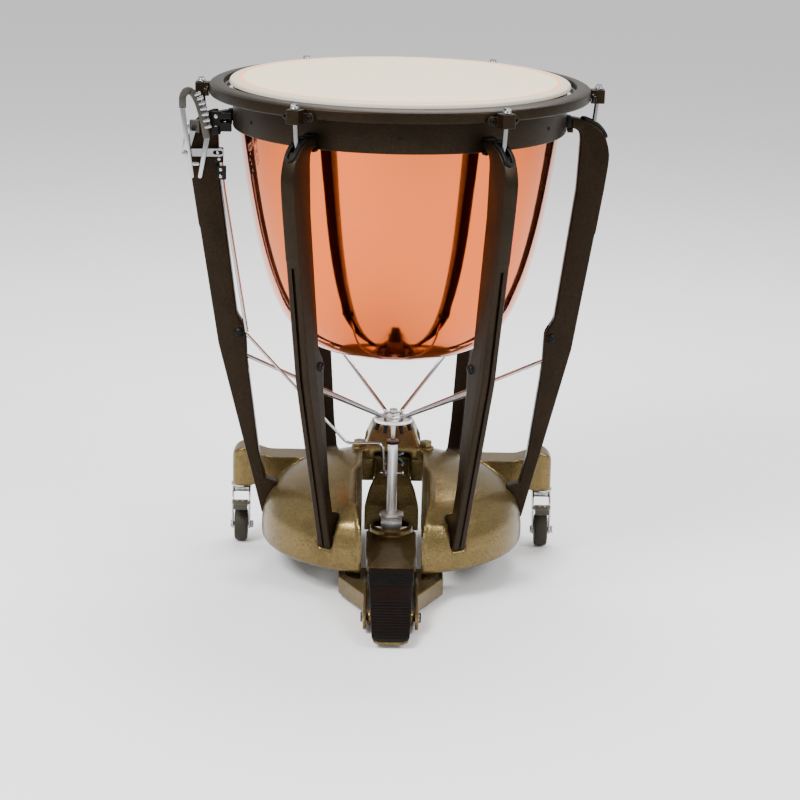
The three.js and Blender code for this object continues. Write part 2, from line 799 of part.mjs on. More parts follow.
// Raised roof over the balance spring, which slopes forwards to the slot's back edge.
function hump() {
  const foot = BASE_TOP - 30;
  const across = front(
    [
      [-68, foot],
      [68, foot],
      [66, BASE_TOP - 4],
      [38, HUMP_TOP],
      [-38, HUMP_TOP],
      [-66, BASE_TOP - 4],
    ],
    SLOT_BACK_Y,
    126,
  );
  const along = side(
    [
      [SLOT_BACK_Y, foot],
      [126, foot],
      [126, HUMP_TOP],
      [60, HUMP_TOP],
      [SLOT_BACK_Y, BASE_TOP - 1],
    ],
    -70,
    70,
  );
  return across.intersect(along);
}

// The hollow inside the roof.
function springWell() {
  const top = HUMP_TOP - BASE_WALL;
  return front(
    [
      [-60, BASE_TOP - 30],
      [60, BASE_TOP - 30],
      [58, BASE_TOP - 4],
      [30, top],
      [-30, top],
      [-58, BASE_TOP - 4],
    ],
    64,
    118,
  );
}

function addBase() {
  const outer = dome(0, BASE_RIM_Z);
  const inner = dome(BASE_WALL, BASE_RIM_Z - 20);
  const low = BASE_RIM_Z + 10;
  const slotWall = plan(slotOutline(BASE_WALL), low, BASE_TOP).intersect(outer);
  const tall = BASE_TOP + 60;
  const slot = plan(slotOutline(0), 0, tall);
  const behind = box(-SLOT_HALF, SLOT_HALF, 0, 300, 0, 104);
  const gap = box(-SLOT_HALF, SLOT_HALF, 0, 64, 0, BASE_TOP - 23);
  const well = box(-34, 34, SLOT_BACK_Y - 2, TAIL_Y + 32, 0, TOWER_TOP + PEDAL_LIFT + 4);
  const gate = box(-80, 80, 60, BASE_R + 20, 0, BASE_RIM_Z + 50);
  const stems = [-1, 1].map((way) => {
    const x = way * CASTER_X;
    return bar([x, ARM_Y, ARM_UNDER - 1], [x, ARM_Y, ARM_UNDER + 32], STEM_D / 2 + RUN, 18);
  });
  const bolts = [-1, 1].map((way) => {
    const x = way * 60;
    return hexBar([x, 30, BASE_TOP - 10], [x, 30, BASE_TOP + 11], 21);
  });
  const seats = SIDES.map((_, i) => {
    const fromFront = -150 + (360 / STRUT_COUNT) * i;
    return footSeat().rotate([0, 0, fromFront - 90]);
  });
  const shell = cut(outer, cut(inner, hump()), ...seats);
  const whole = join(shell, slotWall, crossbar(), hump(), ...bolts);
  const casting = cut(whole, slot, behind, gap, well, springWell(), gate, ...stems);
  piece(drum, "base_casting", casting, GOLD);
}

// ---------------------------------------------------------------- pedal

function addPedalFrame() {
  const rail = [
    [AXLE_Y - 30, AXLE_Z - 8],
    [AXLE_Y - 24, AXLE_Z - 15],
    [AXLE_Y + 20, AXLE_Z - 17],
    [WING_BACK_Y, 8],
    [WING_BACK_Y, WING_TOP],
    [-200, WING_TOP],
    [-240, 44],
    [AXLE_Y + 24, AXLE_Z + 16],
    [AXLE_Y - 18, AXLE_Z + 12],
    [AXLE_Y - 28, AXLE_Z + 4],
  ];
  const wing = [
    [RAIL_IN + 1, WING_BACK_Y],
    [WING_X - 6, WING_BACK_Y],
    [WING_X, WING_BACK_Y - 8],
    [WING_X, -200],
    [RAIL_IN + 4, AXLE_Y + 58],
    [RAIL_IN + 1, AXLE_Y + 58],
  ];
  const mirrored = wing.map(([x, y]) => [-x, y]).reverse();
  const pocket = (way) =>
    box(Math.min(way * 54, way * 84), Math.max(way * 54, way * 84), -196, WING_BACK_Y, 30, 60);
  const legs = [-1, 1].map((way) => {
    const inside = way * RAIL_IN;
    const outside = way * (RAIL_IN + RAIL_T);
    return side(rail, Math.min(inside, outside), Math.max(inside, outside));
  });
  const reach = RAIL_IN + RAIL_T + 1;
  const frame = join(
    ...legs,
    plan(wing, FOOT_H + SEAT, WING_TOP),
    plan(mirrored, FOOT_H + SEAT, WING_TOP),
    box(-RAIL_IN - 1, RAIL_IN + 1, AXLE_Y + 26, AXLE_Y + 56, 5, 8),
  );
  const bore = bar([-reach, AXLE_Y, AXLE_Z], [reach, AXLE_Y, AXLE_Z], AXLE_D / 2 + RUN, 20);
  piece(drum, "pedal_frame", cut(frame, pocket(-1), pocket(1), bore), GOLD);

  const capX = RAIL_IN + RAIL_T + SEAT;
  const axle = join(
    bar([-capX - 2, AXLE_Y, AXLE_Z], [capX + 2, AXLE_Y, AXLE_Z], AXLE_D / 2, 18),
    ...[-1, 1].map((way) =>
      bar([way * capX, AXLE_Y, AXLE_Z], [way * (capX + 4), AXLE_Y, AXLE_Z], 10, 20),
    ),
  );
  piece(drum, "pedal_axle", axle, BLACK);

  for (const way of [-1, 1]) {
    const name = way < 0 ? "front_foot_left" : "front_foot_right";
    const at = [way * FOOT_X, FOOT_Y];
    piece(drum, name, bar([...at, 0], [...at, FOOT_H], FOOT_D / 2, 28), BLACK);
  }
}

// The foot plate's outline seen from above, before it is tilted.
function treadOutline(over) {
  const length = (TREAD_TOP_Y - TOE_Y) / Math.cos(TREAD_SLOPE);
  const front = TREAD_HALF_FRONT + over;
  const back = TREAD_HALF_BACK + over;
  const right = [
    [front - 12, 0.6],
    [front - 4, 3],
    [front, 9],
    [back, length - 12],
    [back - 6, length - 3],
    [back - 14, length],
  ];
  const left = right.map(([x, y]) => [-x, y]).reverse();
  return [...right, ...left];
}

function tread(over, z0, z1) {
  const plate = extruded(treadOutline(over), z1 - z0).translate(0, 0, z0);
  return solid(plate.rotateX(TREAD_SLOPE).translate(0, TOE_Y, TREAD_Z));
}

function towerShape() {
  const foot = CUP_TOP - 24;
  const faceOn = front(
    [
      [-50, foot],
      [50, foot],
      [50, foot + 40],
      [42, foot + 74],
      [30, foot + 103],
      [15, foot + 127],
      [8, TOWER_TOP],
      [-8, TOWER_TOP],
      [-15, foot + 127],
      [-30, foot + 103],
      [-42, foot + 74],
      [-50, foot + 40],
    ],
    0,
    TAIL_Y + 20,
  );
  const curve = side(
    [
      [CUP_R - 8, foot],
      [CUP_R + 8, foot],
      [TOWER_Y + 8, foot + 40],
      [TOWER_Y + 6, foot + 100],
      [TOWER_Y - 8, TOWER_TOP],
      [TOWER_Y - 18, TOWER_TOP],
      [TOWER_Y - 5, foot + 100],
      [TOWER_Y - 6, foot + 40],
    ],
    -51,
    51,
  );
  return faceOn.intersect(curve);
}

function addPedal() {
  const hubHalf = RAIL_IN - 1.5;
  const beam = side(
    [
      [AXLE_Y - 6, AXLE_Z - 12],
      [AXLE_Y + 16, AXLE_Z - 8],
      [-200, 26],
      [-CUP_R + 6, CUP_UNDER],
      [-CUP_R + 6, CUP_TOP - 14],
      [-150, 60],
      [-200, 66],
      [TREAD_TOP_Y, 70.5],
      [TREAD_TOP_Y - 10, 58],
      [AXLE_Y, AXLE_Z + 9],
    ],
    -ARM_HALF,
    ARM_HALF,
  );
  const shoulderSide = side(
    [
      [TREAD_TOP_Y - 12, 59],
      [-152, 54],
      [-140, 42],
      [0, CUP_UNDER],
      [0, CUP_TOP - 14],
      [-150, 60],
      [-200, 66],
      [TREAD_TOP_Y, 70.5],
    ],
    -SHOULDER_HALF,
    SHOULDER_HALF,
  );
  const shoulderHalf = [
    [SHOULDER_HALF - 10, TREAD_TOP_Y - 12],
    [SHOULDER_HALF - 2, TREAD_TOP_Y + 20],
    [SHOULDER_HALF, -100],
    [SHOULDER_HALF, 0],
  ];
  const mirrored = shoulderHalf.map(([x, y]) => [-x, y]).reverse();
  const shoulders = plan([...shoulderHalf, ...mirrored], 30, 90).intersect(shoulderSide);
  const hub = bar([-hubHalf, AXLE_Y, AXLE_Z], [hubHalf, AXLE_Y, AXLE_Z], HUB_R, 28);
  const cup = join(
    bar([0, 0, CUP_UNDER], [0, 0, CUP_TOP - 14], CUP_R, 36),
    bar([0, 0, CUP_UNDER], [0, 0, CUP_TOP], CUP_RING_R, 36),
  );
  const bore = bar([0, 0, CUP_FLOOR], [0, 0, CUP_TOP + 30], CUP_BORE_R, 32);
  const pinZ = NUT_BOTTOM + 8;
  const pinSlack = NUT_PIN_D / 2 + RUN;
  const pinSlot = join(
    ...[-PIN_PLAY, 0, PIN_PLAY].map((y) =>
      bar([-CUP_PIN_REACH - 0.8, y, pinZ], [CUP_PIN_REACH + 0.8, y, pinZ], pinSlack, 12),
    ),
  );
  const tail = join(
    box(-20, 20, CUP_R - 10, TAIL_Y + 4, CUP_UNDER + 8, CUP_UNDER + 16),
    box(-20, 20, TAIL_Y - 24, TAIL_Y + 4, CUP_UNDER + 8, TAIL_Z - 8),
    bar([0, TAIL_Y, TAIL_Z - 10], [0, TAIL_Y, TAIL_Z - 4], SPRING_R + 5, 24),
  );
  const axleBore = bar(
    [-hubHalf - 1, AXLE_Y, AXLE_Z],
    [hubHalf + 1, AXLE_Y, AXLE_Z],
    AXLE_D / 2 + RUN,
    20,
  );
  const body = join(beam, shoulders, hub, cup, towerShape(), tail, tread(0, -TREAD_T / 2, TREAD_T / 2));
  piece(drum, "pedal_casting", cut(body, bore, pinSlot, axleBore), GOLD);
  const seat = TREAD_T / 2 + SEAT;
  const beamTop = side([[TREAD_TOP_Y - 14, 40], [0, 40], [0, 90], [TREAD_TOP_Y - 14, 90]], -90, 90);
  piece(drum, "pedal_pad", cut(tread(PAD_OVER, seat, seat + PAD_T), beamTop), BLACK);
}

class Helix extends THREE.Curve {
  constructor(radius, height, turns) {
    super();
    this.radius = radius;
    this.height = height;
    this.turns = turns;
  }

  getPoint(t, point = new THREE.Vector3()) {
    const angle = 2 * Math.PI * this.turns * t;
    return point.set(
      this.radius * Math.cos(angle),
      this.radius * Math.sin(angle),
      this.height * t,
    );
  }
}

function addSpring() {
  const wire = SPRING_WIRE / 2;
  const low = TAIL_Z - 4 + wire + SEAT + 1;
  const high = HUMP_TOP - BASE_WALL - wire - SEAT - 1;
  const section = new THREE.Shape().absarc(0, 0, wire, 0, 2 * Math.PI);
  const coil = new THREE.ExtrudeGeometry(section, {
    extrudePath: new Helix(SPRING_R, high - low, SPRING_COILS),
    steps: SPRING_COILS * 11,
    curveSegments: 2,
    bevelEnabled: false,
  });
  piece(drum, "balance_spring", solid(coil.translate(0, TAIL_Y, low)), STEEL);
}

// ---------------------------------------------------------------- casters

function addCasters() {
  const cheekIn = WHEEL_W / 2 + FORK_GAP;
  const cheekOut = cheekIn + FORK_T;
  const wheelY = ARM_Y - TRAIL;
  const plateTop = ARM_UNDER - SEAT;
  const plateUnder = plateTop - 6;
  const bridge = plateUnder - 8;
  const brakeY = wheelY - 8;
  const brakeZ = WHEEL_R * 2 + 12;
  for (const way of [-1, 1]) {
    const where = way < 0 ? "left" : "right";
    const place = new THREE.Group();
    place.position.set(way * CASTER_X, 0, 0);
    const cheek = (x0, x1) =>
      side(
        [
          [ARM_Y - 16, plateUnder + 1],
          [ARM_Y + 14, plateUnder + 1],
          [ARM_Y + 12, bridge - 14],
          [wheelY + 9, WHEEL_R - 6],
          [wheelY - 5, WHEEL_R - 8],
          [wheelY - 11, WHEEL_R],
          [wheelY - 16, brakeZ + 6],
        ],
        x0,
        x1,
      );
    const fork = join(
      bar([0, ARM_Y, bridge], [0, ARM_Y, ARM_UNDER + 28], STEM_D / 2, 18),
      bar([0, ARM_Y, plateUnder], [0, ARM_Y, plateTop], 20, 28),
      box(-cheekOut, cheekOut, ARM_Y - 15, ARM_Y + 13, bridge, plateUnder + 1),
      cheek(-cheekOut, -cheekIn),
      cheek(cheekIn, cheekOut),
      bar([-cheekOut - 2, wheelY, WHEEL_R], [cheekOut + 2, wheelY, WHEEL_R], 4, 14),
      hexBar([cheekOut - 1, wheelY, WHEEL_R], [cheekOut + 6, wheelY, WHEEL_R], 12),
      hexBar([-cheekOut - 3, wheelY, WHEEL_R], [-cheekOut + 1, wheelY, WHEEL_R], 12),
    );
    const brakeHole = bar([-30, brakeY, brakeZ], [30, brakeY, brakeZ], 2.5 + RUN, 14);
    piece(place, "caster_fork_" + where, cut(fork, brakeHole), CHROME);

    const half = WHEEL_W / 2;
    const tyre = new THREE.LatheGeometry(
      [
        [4 + RUN, -half],
        [WHEEL_R - 4, -half],
        [WHEEL_R, -half + 4],
        [WHEEL_R, half - 4],
        [WHEEL_R - 4, half],
        [4 + RUN, half],
        [4 + RUN, -half],
      ].map(([r, h]) => new THREE.Vector2(r, h)),
      32,
    );
    const wheel = solid(tyre.rotateZ(Math.PI / 2).translate(0, wheelY, WHEEL_R));
    piece(place, "caster_wheel_" + where, wheel, TYRE);

    const tab = side(
      [
        [brakeY + 5, brakeZ + 5],
        [brakeY - 20, brakeZ + 12],
        [brakeY - 34, brakeZ + 6],
        [brakeY - 34, brakeZ - 3],
        [brakeY - 18, brakeZ + 1],
        [brakeY + 3, brakeZ - 5],
      ],
      -cheekIn + 0.8,
      cheekIn - 0.8,
    );
    const pin = bar([-cheekOut - 1, brakeY, brakeZ], [cheekOut + 1, brakeY, brakeZ], 2.5, 12);
    piece(place, "caster_brake_" + where, join(tab, pin), TAUPE);
    drum.add(place);
  }
}

// ---------------------------------------------------------------- tuning gauge

function addGauge() {
  const atHead = ([out, down]) => [-(HEAD_R + out), HEAD_Z - down];
  const [pivotX, pivotZ] = POINTER_PIVOT;
  const [tailX, tailZ] = TAIL_PIN;
  const barBack = -20;
  const barFront = -30;

  const ringX = -Math.sqrt(RING_R * RING_R - barBack * barBack) - SEAT - 1;
  const blockX = -(HEAD_R + 20);
  const post = -(HEAD_R + 34);
  const bars = [
    [68, 5],
    [87, 8],
  ].map(([down, half]) =>
    box(blockX, ringX, barFront, barBack, HEAD_Z - down - half, HEAD_Z - down + half),
  );
  const bracket = join(
    ...bars,
    box(post, blockX + 1, barFront, barBack, HEAD_Z - 100, HEAD_Z - 60),
    box(post, post + 12, SCALE_Y + 4 + SEAT, barBack, HEAD_Z - 100, HEAD_Z - 86),
  );
  piece(drum, "gauge_bracket", bracket, BLACK);

  const rail = [[85, 53], [86, 33], [82, 25], [74, 22], [66, 27], [58, 40], [50, 66], [42, 105]];
  const rails = rail.map(atHead);
  const scaleBack = SCALE_Y + 4;
  const strips = rails
    .slice(1)
    .map((to, i) => arm(rails[i], to, 4.5, 4.5, SCALE_Y, scaleBack - (i % 2) * 0.02));
  const straps = [
    [[84, 55], [68, 172]],
    [[42, 105], [54, 172]],
    [[68, 172], [54, 172]],
  ].map(([from, to]) => arm(atHead(from), atHead(to), 4, 4, SCALE_Y, SCALE_Y + 2.5));
  const pivotPin = bar([pivotX, SCALE_Y, pivotZ], [pivotX, POINTER_Y + 6, pivotZ], 3, 14);
  const pivotWeb = arm(atHead([77.5, 100]), POINTER_PIVOT, 4, 6, SCALE_Y, SCALE_Y + 2.5);
  const scale = join(...strips, ...straps, pivotWeb, pivotPin);
  piece(drum, "gauge_scale", scale, CHROME);

  const clampAt = [pivotX + 16, pivotZ + 46];
  const back = POINTER_Y + 4;
  const pointerSolid = join(
    arm(POINTER_PIVOT, clampAt, 6.5, 4, POINTER_Y, back),
    arm(POINTER_PIVOT, [tailX + 4, tailZ], 6.5, 7, POINTER_Y, back),
    box(clampAt[0] - 9, clampAt[0] + 9, POINTER_Y, back + 6, clampAt[1] - 11, clampAt[1] + 11),
  );
  const pointer = cut(
    pointerSolid,
    arm([tailX - 5, tailZ], [tailX + 5, tailZ], 3.6, 3.6, POINTER_Y - 1, back + 1),
    bar([pivotX, SCALE_Y, pivotZ], [pivotX, 0, pivotZ], 3 + RUN, 16),
    bar([clampAt[0] - 10, back + 1, clampAt[1]], [clampAt[0] - 2, back + 1, clampAt[1]], 3.2, 12),
  );
  piece(drum, "gauge_pointer", pointer, STEEL);
  const knob = join(
    bar([clampAt[0] - 3, back + 1, clampAt[1]], [clampAt[0] - 12, back + 1, clampAt[1]], 2.5, 12),
    bar([clampAt[0] - 10, back + 1, clampAt[1]], [clampAt[0] - 18, back + 1, clampAt[1]], 5, 12),
  );
  piece(drum, "gauge_knob", knob, STEEL);

  const kneeAt = [-(PIVOT_R - 14), GAUGE_ROD_Y, PIVOT_Z - 1];
  const rodTop = [-(HEAD_R + 15), GAUGE_ROD_Y, HEAD_Z - 190];
  const blockTop = tailZ + 7;
  const upper = join(
    bar([kneeAt[0], kneeAt[1], kneeAt[2] + 4], rodTop, 3.4, 12),
    bar(rodTop, [tailX + 4, GAUGE_ROD_Y, blockTop - 8], 3.4, 12),
    box(tailX - 6, tailX + 9, GAUGE_ROD_Y - 5, GAUGE_ROD_Y + 6, blockTop - 26, blockTop),
    box(tailX - 2, tailX + 14, GAUGE_ROD_Y - 6, GAUGE_ROD_Y + 5, blockTop - 56, blockTop - 32),
    bar([tailX, GAUGE_ROD_Y, tailZ], [tailX, POINTER_Y - 2, tailZ], 2.5, 12),
  );
  piece(drum, "gauge_link_upper", upper, CHROME);
  const eyeX = -SLEEVE_D / 2 - 4.5;
  const lowerWire = bentBar(
    [
      [kneeAt[0], kneeAt[1], kneeAt[2]],
      [-83, -16, SPIDER_Z - 42],
      [-24, -12, SPIDER_Z - 43],
      [eyeX - 4, -12, SPIDER_Z - 50],
      [eyeX - 2, -9, LINK_PIN_Z + 6],
      [eyeX, -4, LINK_PIN_Z],
    ],
    2.7,
    6,
  );
  const eyeRing = bar([eyeX - 3, 0, LINK_PIN_Z], [eyeX + 3, 0, LINK_PIN_Z], 6.5, 16);
  const eyeHole = bar([eyeX - 6, 0, LINK_PIN_Z], [eyeX + 6, 0, LINK_PIN_Z], 2.5 + RUN, 14);
  piece(drum, "gauge_link_lower", cut(join(lowerWire, eyeRing), eyeHole), CHROME);
}

// ---------------------------------------------------------------- the drum

addHead();
addHoops();
addBowl();
addStruts();
addPullRod();
addBase();
addPedalFrame();
addPedal();
addSpring();
addCasters();
addGauge();
drum.position.set(AXIS_X, AXIS_Y, 0);

const timpani = new THREE.Group();
timpani.add(drum);
export default timpani;
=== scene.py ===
"""The looks of a pedal timpani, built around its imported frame.

Sizes are in millimetres about the bowl's axis and the floor, and each mesh is moved to the frame's
metres when its object is made. Every piece rides on the body of the node that it stands for.
"""

from __future__ import annotations

import json
import logging
import math
from dataclasses import dataclass
from enum import Enum
from typing import Callable, Iterable, Sequence

import bmesh
import bpy
from mathutils import Matrix, Vector


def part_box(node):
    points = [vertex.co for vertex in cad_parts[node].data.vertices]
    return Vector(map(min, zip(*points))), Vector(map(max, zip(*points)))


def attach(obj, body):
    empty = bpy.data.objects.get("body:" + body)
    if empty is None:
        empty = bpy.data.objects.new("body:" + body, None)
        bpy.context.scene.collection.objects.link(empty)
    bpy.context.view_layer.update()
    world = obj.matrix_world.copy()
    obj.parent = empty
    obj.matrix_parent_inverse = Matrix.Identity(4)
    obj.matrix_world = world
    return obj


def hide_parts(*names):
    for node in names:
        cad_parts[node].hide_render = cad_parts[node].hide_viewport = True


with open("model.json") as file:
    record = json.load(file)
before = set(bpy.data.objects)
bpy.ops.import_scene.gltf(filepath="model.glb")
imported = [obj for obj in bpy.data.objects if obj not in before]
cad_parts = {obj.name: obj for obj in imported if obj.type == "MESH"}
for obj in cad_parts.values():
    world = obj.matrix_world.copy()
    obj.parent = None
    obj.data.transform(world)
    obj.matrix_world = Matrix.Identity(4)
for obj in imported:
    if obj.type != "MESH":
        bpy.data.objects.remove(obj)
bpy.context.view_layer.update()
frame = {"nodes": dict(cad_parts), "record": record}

log = logging.getLogger("timpani")
MM = 0.001
DEGREE = math.pi / 180
ROUND = 144  # sides of a large turned piece
TINY = 1e-6  # a length, in millimetres, that counts as nothing
MERGE = 2e-6  # points nearer than this, in metres, are one
SIDES = ("rear_left", "left", "front_left", "front_right", "right", "rear_right")

Flat = Sequence[float]


def middle(node: str) -> Vector:
    """The middle of a CAD node's box, in metres."""
    low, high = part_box(node)
    return (low + high) / 2


AXIS = middle("kettle")
HEAD_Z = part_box("drumhead")[1].z / MM  # playing surface
RING_R = (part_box("suspension_ring")[1].x - AXIS.x) / MM
HOOP_R = (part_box("counterhoop")[1].x - AXIS.x) / MM
HEAD_R = RING_R + 0.7  # bearing edge
SPIDER_Z = middle("spider_plate").z / MM
PIVOT_R = HEAD_R - 14  # the bell cranks' pivots
PIVOT_Z = SPIDER_Z + 159
BASE_R = HEAD_R - 56
BASE_TOP = SPIDER_Z - 57


# ------------------------------------------------------------------ shapes


class Plane(Enum):
    """The plane that an outline is drawn in."""

    PLAN = "x and y"
    FRONT = "x and z"
    SIDE = "y and z"

    def point(self, a: float, b: float, out: float) -> Vector:
        """An outline's point, moved out of its plane."""
        if self is Plane.PLAN:
            return Vector((a, b, out))
        if self is Plane.FRONT:
            return Vector((a, out, b))
        return Vector((out, a, b))


@dataclass
class Form:
    """Closed surfaces in millimetres about the drum's axis."""

    verts: list[Vector]
    faces: list[tuple[int, ...]]

    def placed(self, matrix: Matrix) -> Form:
        """The same form, turned or moved."""
        return Form([matrix @ v for v in self.verts], list(self.faces))

    def moved(self, x: float = 0, y: float = 0, z: float = 0) -> Form:
        """The same form, shifted."""
        return self.placed(Matrix.Translation((x, y, z)))

    def __add__(self, other: Form) -> Form:
        """Both forms as one, not cut by each other."""
        first = len(self.verts)
        faces = [tuple(i + first for i in face) for face in other.faces]
        return Form(self.verts + other.verts, self.faces + faces)


def together(forms: Iterable[Form]) -> Form:
    """Several forms as one."""
    whole = Form([], [])
    for form in forms:
        whole = whole + form
    return whole


def filleted(points: Sequence[Flat], radius: float = 2.0, steps: int = 6) -> list[tuple[float, float]]:
    """Rounds an outline's corners with arcs.

    Args:
        points: the corners, each with its own radius as a third number if it has one.
        radius: the arc at every other corner, in millimetres.
        steps: how many edges a quarter turn gets.

    Returns:
        The rounded outline.
    """
    rounded: list[tuple[float, float]] = []
    for i, point in enumerate(points):
        here = Vector(point[:2])
        wanted = point[2] if len(point) > 2 else radius
        before = Vector(points[i - 1][:2]) - here
        after = Vector(points[(i + 1) % len(points)][:2]) - here
        if wanted <= 0 or before.length < TINY or after.length < TINY:
            rounded.append(tuple(here))
            continue
        turn = math.pi - before.angle(after)
        if turn < 0.01 or turn > 3.1:
            rounded.append(tuple(here))
            continue
        reach = min(wanted * math.tan(turn / 2), 0.49 * before.length, 0.49 * after.length)
        true = reach / math.tan(turn / 2)
        to_before, to_after = before.normalized(), after.normalized()
        centre = here + (to_before + to_after).normalized() * (true / math.cos(turn / 2))
        first = here + to_before * reach - centre
        last = here + to_after * reach - centre
        start = math.atan2(first.y, first.x)
        sweep = math.atan2(first.x * last.y - first.y * last.x, first.dot(last))
        count = max(1, math.ceil(abs(sweep) / (math.pi / 2) * steps))
        for k in range(count + 1):
            angle = start + sweep * k / count
            rounded.append((centre.x + true * math.cos(angle), centre.y + true * math.sin(angle)))
    return rounded


def turned(profile: Sequence[Flat], segments: int = ROUND) -> Form:
    """An outline of radius and height turned about the upright axis; it closes on itself or on the axis."""
    verts: list[Vector] = []
    rings: list[list[int]] = []
    for r, z in profile:
        sides = 1 if r < TINY else segments
        rings.append(list(range(len(verts), len(verts) + sides)))
        for k in range(sides):
            angle = 2 * math.pi * (k + 0.5) / segments
            verts.append(Vector((r * math.cos(angle), r * math.sin(angle), z)))
    faces: list[tuple[int, ...]] = []
    for low, high in zip(rings, rings[1:]):
        for k in range(segments):
            n = (k + 1) % segments
            if len(low) == 1 and len(high) == 1:
                break
            if len(low) == 1:
                faces.append((low[0], high[k], high[n]))
            elif len(high) == 1:
                faces.append((low[k], high[0], low[n]))
            else:
                faces.append((low[k], high[k], high[n], low[n]))
    return Form(verts, faces)


def ringed(profile: Sequence[Flat], segments: int = ROUND) -> Form:
    """An outline clear of the axis, turned into a ring."""
    return turned([*profile, profile[0]], segments)


def mirrored(half: Sequence[Flat]) -> list[Flat]:
    """Half of an outline, with the other half as its mirror image."""
    return [*half, *((-across, *rest) for across, *rest in reversed(half))]


def aimed(form: Form, start: Flat, end: Flat) -> Form:
    """Lays a form's upright axis on the line from start to end."""
    line = Vector(end) - Vector(start)
    turn = Vector((0, 0, 1)).rotation_difference(line.normalized()).to_matrix().to_4x4()
    return form.placed(Matrix.Translation(Vector(start)) @ turn)


def bar(start: Flat, end: Flat, radius: float, segments: int = 32, soft: float = 0.6) -> Form:
    """A round bar with softened ends, between two points."""
    length = (Vector(end) - Vector(start)).length
    edge = min(soft, radius * 0.4, length * 0.3)
    profile = [(0, 0, 0), (radius, 0), (radius, length), (0, length, 0)]
    return aimed(turned(filleted(profile, edge, 3), segments), start, end)


def post(low: float, high: float, radius: float, segments: int = 32, soft: float = 0.6) -> Form:
    """A bar that stands on the drum's axis."""
    return bar((0, 0, low), (0, 0, high), radius, segments, soft)


def hexagon(start: Flat, end: Flat, across: float, soft: float = 0.8) -> Form:
    """A hexagonal bar with softened ends."""
    return bar(start, end, across / math.sqrt(3), 6, soft)


def prism(outline: Sequence[Flat], low: float, high: float, plane: Plane) -> Form:
    """An outline raised out of its plane from low to high."""
    count = len(outline)
    verts = [plane.point(a, b, low) for a, b in outline]
    verts += [plane.point(a, b, high) for a, b in outline]
    faces = [tuple(range(count)), tuple(range(2 * count - 1, count - 1, -1))]
    faces += [(i, (i + 1) % count, count + (i + 1) % count, count + i) for i in range(count)]
    return Form(verts, faces)


def block(x0: float, x1: float, y0: float, y1: float, z0: float, z1: float) -> Form:
    """A plain block, for cutting with."""
    return prism([(x0, y0), (x1, y0), (x1, y1), (x0, y1)], z0, z1, Plane.PLAN)


def bends(points: Sequence[Flat], reach: float, steps: int = 6) -> list[Vector]:
    """A path in space with its corners turned into smooth bends."""
    path = [Vector(points[0])]
    for before, here, after in zip(points, points[1:], points[2:]):
        corner = Vector(here)
        back = Vector(before) - corner
        on = Vector(after) - corner
        cut = min(reach, 0.45 * back.length, 0.45 * on.length)
        first = corner + back.normalized() * cut
        last = corner + on.normalized() * cut
        for k in range(steps + 1):
            t = k / steps
            path.append(first * (1 - t) ** 2 + corner * (2 * t * (1 - t)) + last * t * t)
    path.append(Vector(points[-1]))
    return path


def tube(
    path: Sequence[Vector], radius: float | Sequence[float], sides: int = 16, closed: bool = False
) -> Form:
    """A round tube along a path.

    Args:
        path: the centreline.
        radius: one radius, or one for each point.
        sides: how many sides the section has.
        closed: whether the path joins up with its own start.

    Returns:
        A closed form.
    """
    count = len(path)
    radii = [radius] * count if isinstance(radius, (int, float)) else list(radius)
    ahead = [path[(i + 1) % count] if closed or i + 1 < count else path[i] for i in range(count)]
    behind = [path[i - 1] if closed or i else path[i] for i in range(count)]
    tangents = [(a - b).normalized() for a, b in zip(ahead, behind)]
    across = tangents[0].orthogonal().normalized()
    verts: list[Vector] = []
    for i, tangent in enumerate(tangents):
        if i:
            across = tangents[i - 1].rotation_difference(tangent) @ across
        across = (across - tangent * across.dot(tangent)).normalized()
        other = tangent.cross(across)
        for k in range(sides):
            angle = 2 * math.pi * k / sides
            verts.append(path[i] + (across * math.cos(angle) + other * math.sin(angle)) * radii[i])
    faces: list[tuple[int, ...]] = []
    for i in range(count if closed else count - 1):
        j = (i + 1) % count
        shift = 0
        if closed and j == 0:
            gaps = [(verts[k] - verts[i * sides]).length for k in range(sides)]
            shift = gaps.index(min(gaps))
        for k in range(sides):
            n = (k + 1) % sides
            far, far_next = j * sides + (k + shift) % sides, j * sides + (n + shift) % sides
            faces.append((i * sides + k, i * sides + n, far_next, far))
    if not closed:
        faces.append(tuple(range(sides - 1, -1, -1)))
        faces.append(tuple((count - 1) * sides + k for k in range(sides)))
    return Form(verts, faces)


def capsule(start: Flat, end: Flat, first: float, last: float, y0: float, y1: float) -> Form:
    """A flat link with round ends, drawn from the front and y0 to y1 thick."""
    along = math.atan2(end[1] - start[1], end[0] - start[0])
    outline = []
    for (x, z), radius, turn in ((start, first, math.pi / 2), (end, last, -math.pi / 2)):
        for k in range(13):
            angle = along + turn + math.pi * k / 12
            outline.append((x + radius * math.cos(angle), z + radius * math.sin(angle)))
    return prism(outline, y0, y1, Plane.FRONT)


# ------------------------------------------------------------------ objects


def made(name: str, form: Form, crease: float = 35) -> bpy.types.Object:
    """Makes an object of a form, in the frame's metres, shaded smooth up to a crease angle."""
    mesh = bpy.data.meshes.new(name)
    place = [(v.x * MM + AXIS.x, v.y * MM + AXIS.y, v.z * MM) for v in form.verts]
    mesh.from_pydata(place, [], form.faces)
    sealed(mesh, crease)
    piece = bpy.data.objects.new(name, mesh)
    bpy.context.scene.collection.objects.link(piece)
    return piece


def sealed(mesh: bpy.types.Mesh, crease: float) -> None:
    """Merges a mesh's doubled points, turns its faces outwards and shades it."""
    shell = bmesh.new()
    shell.from_mesh(mesh)
    bmesh.ops.remove_doubles(shell, verts=shell.verts, dist=MERGE)
    bmesh.ops.recalc_face_normals(shell, faces=shell.faces)
    shell.to_mesh(mesh)
    shell.free()
    smooth(mesh, crease)


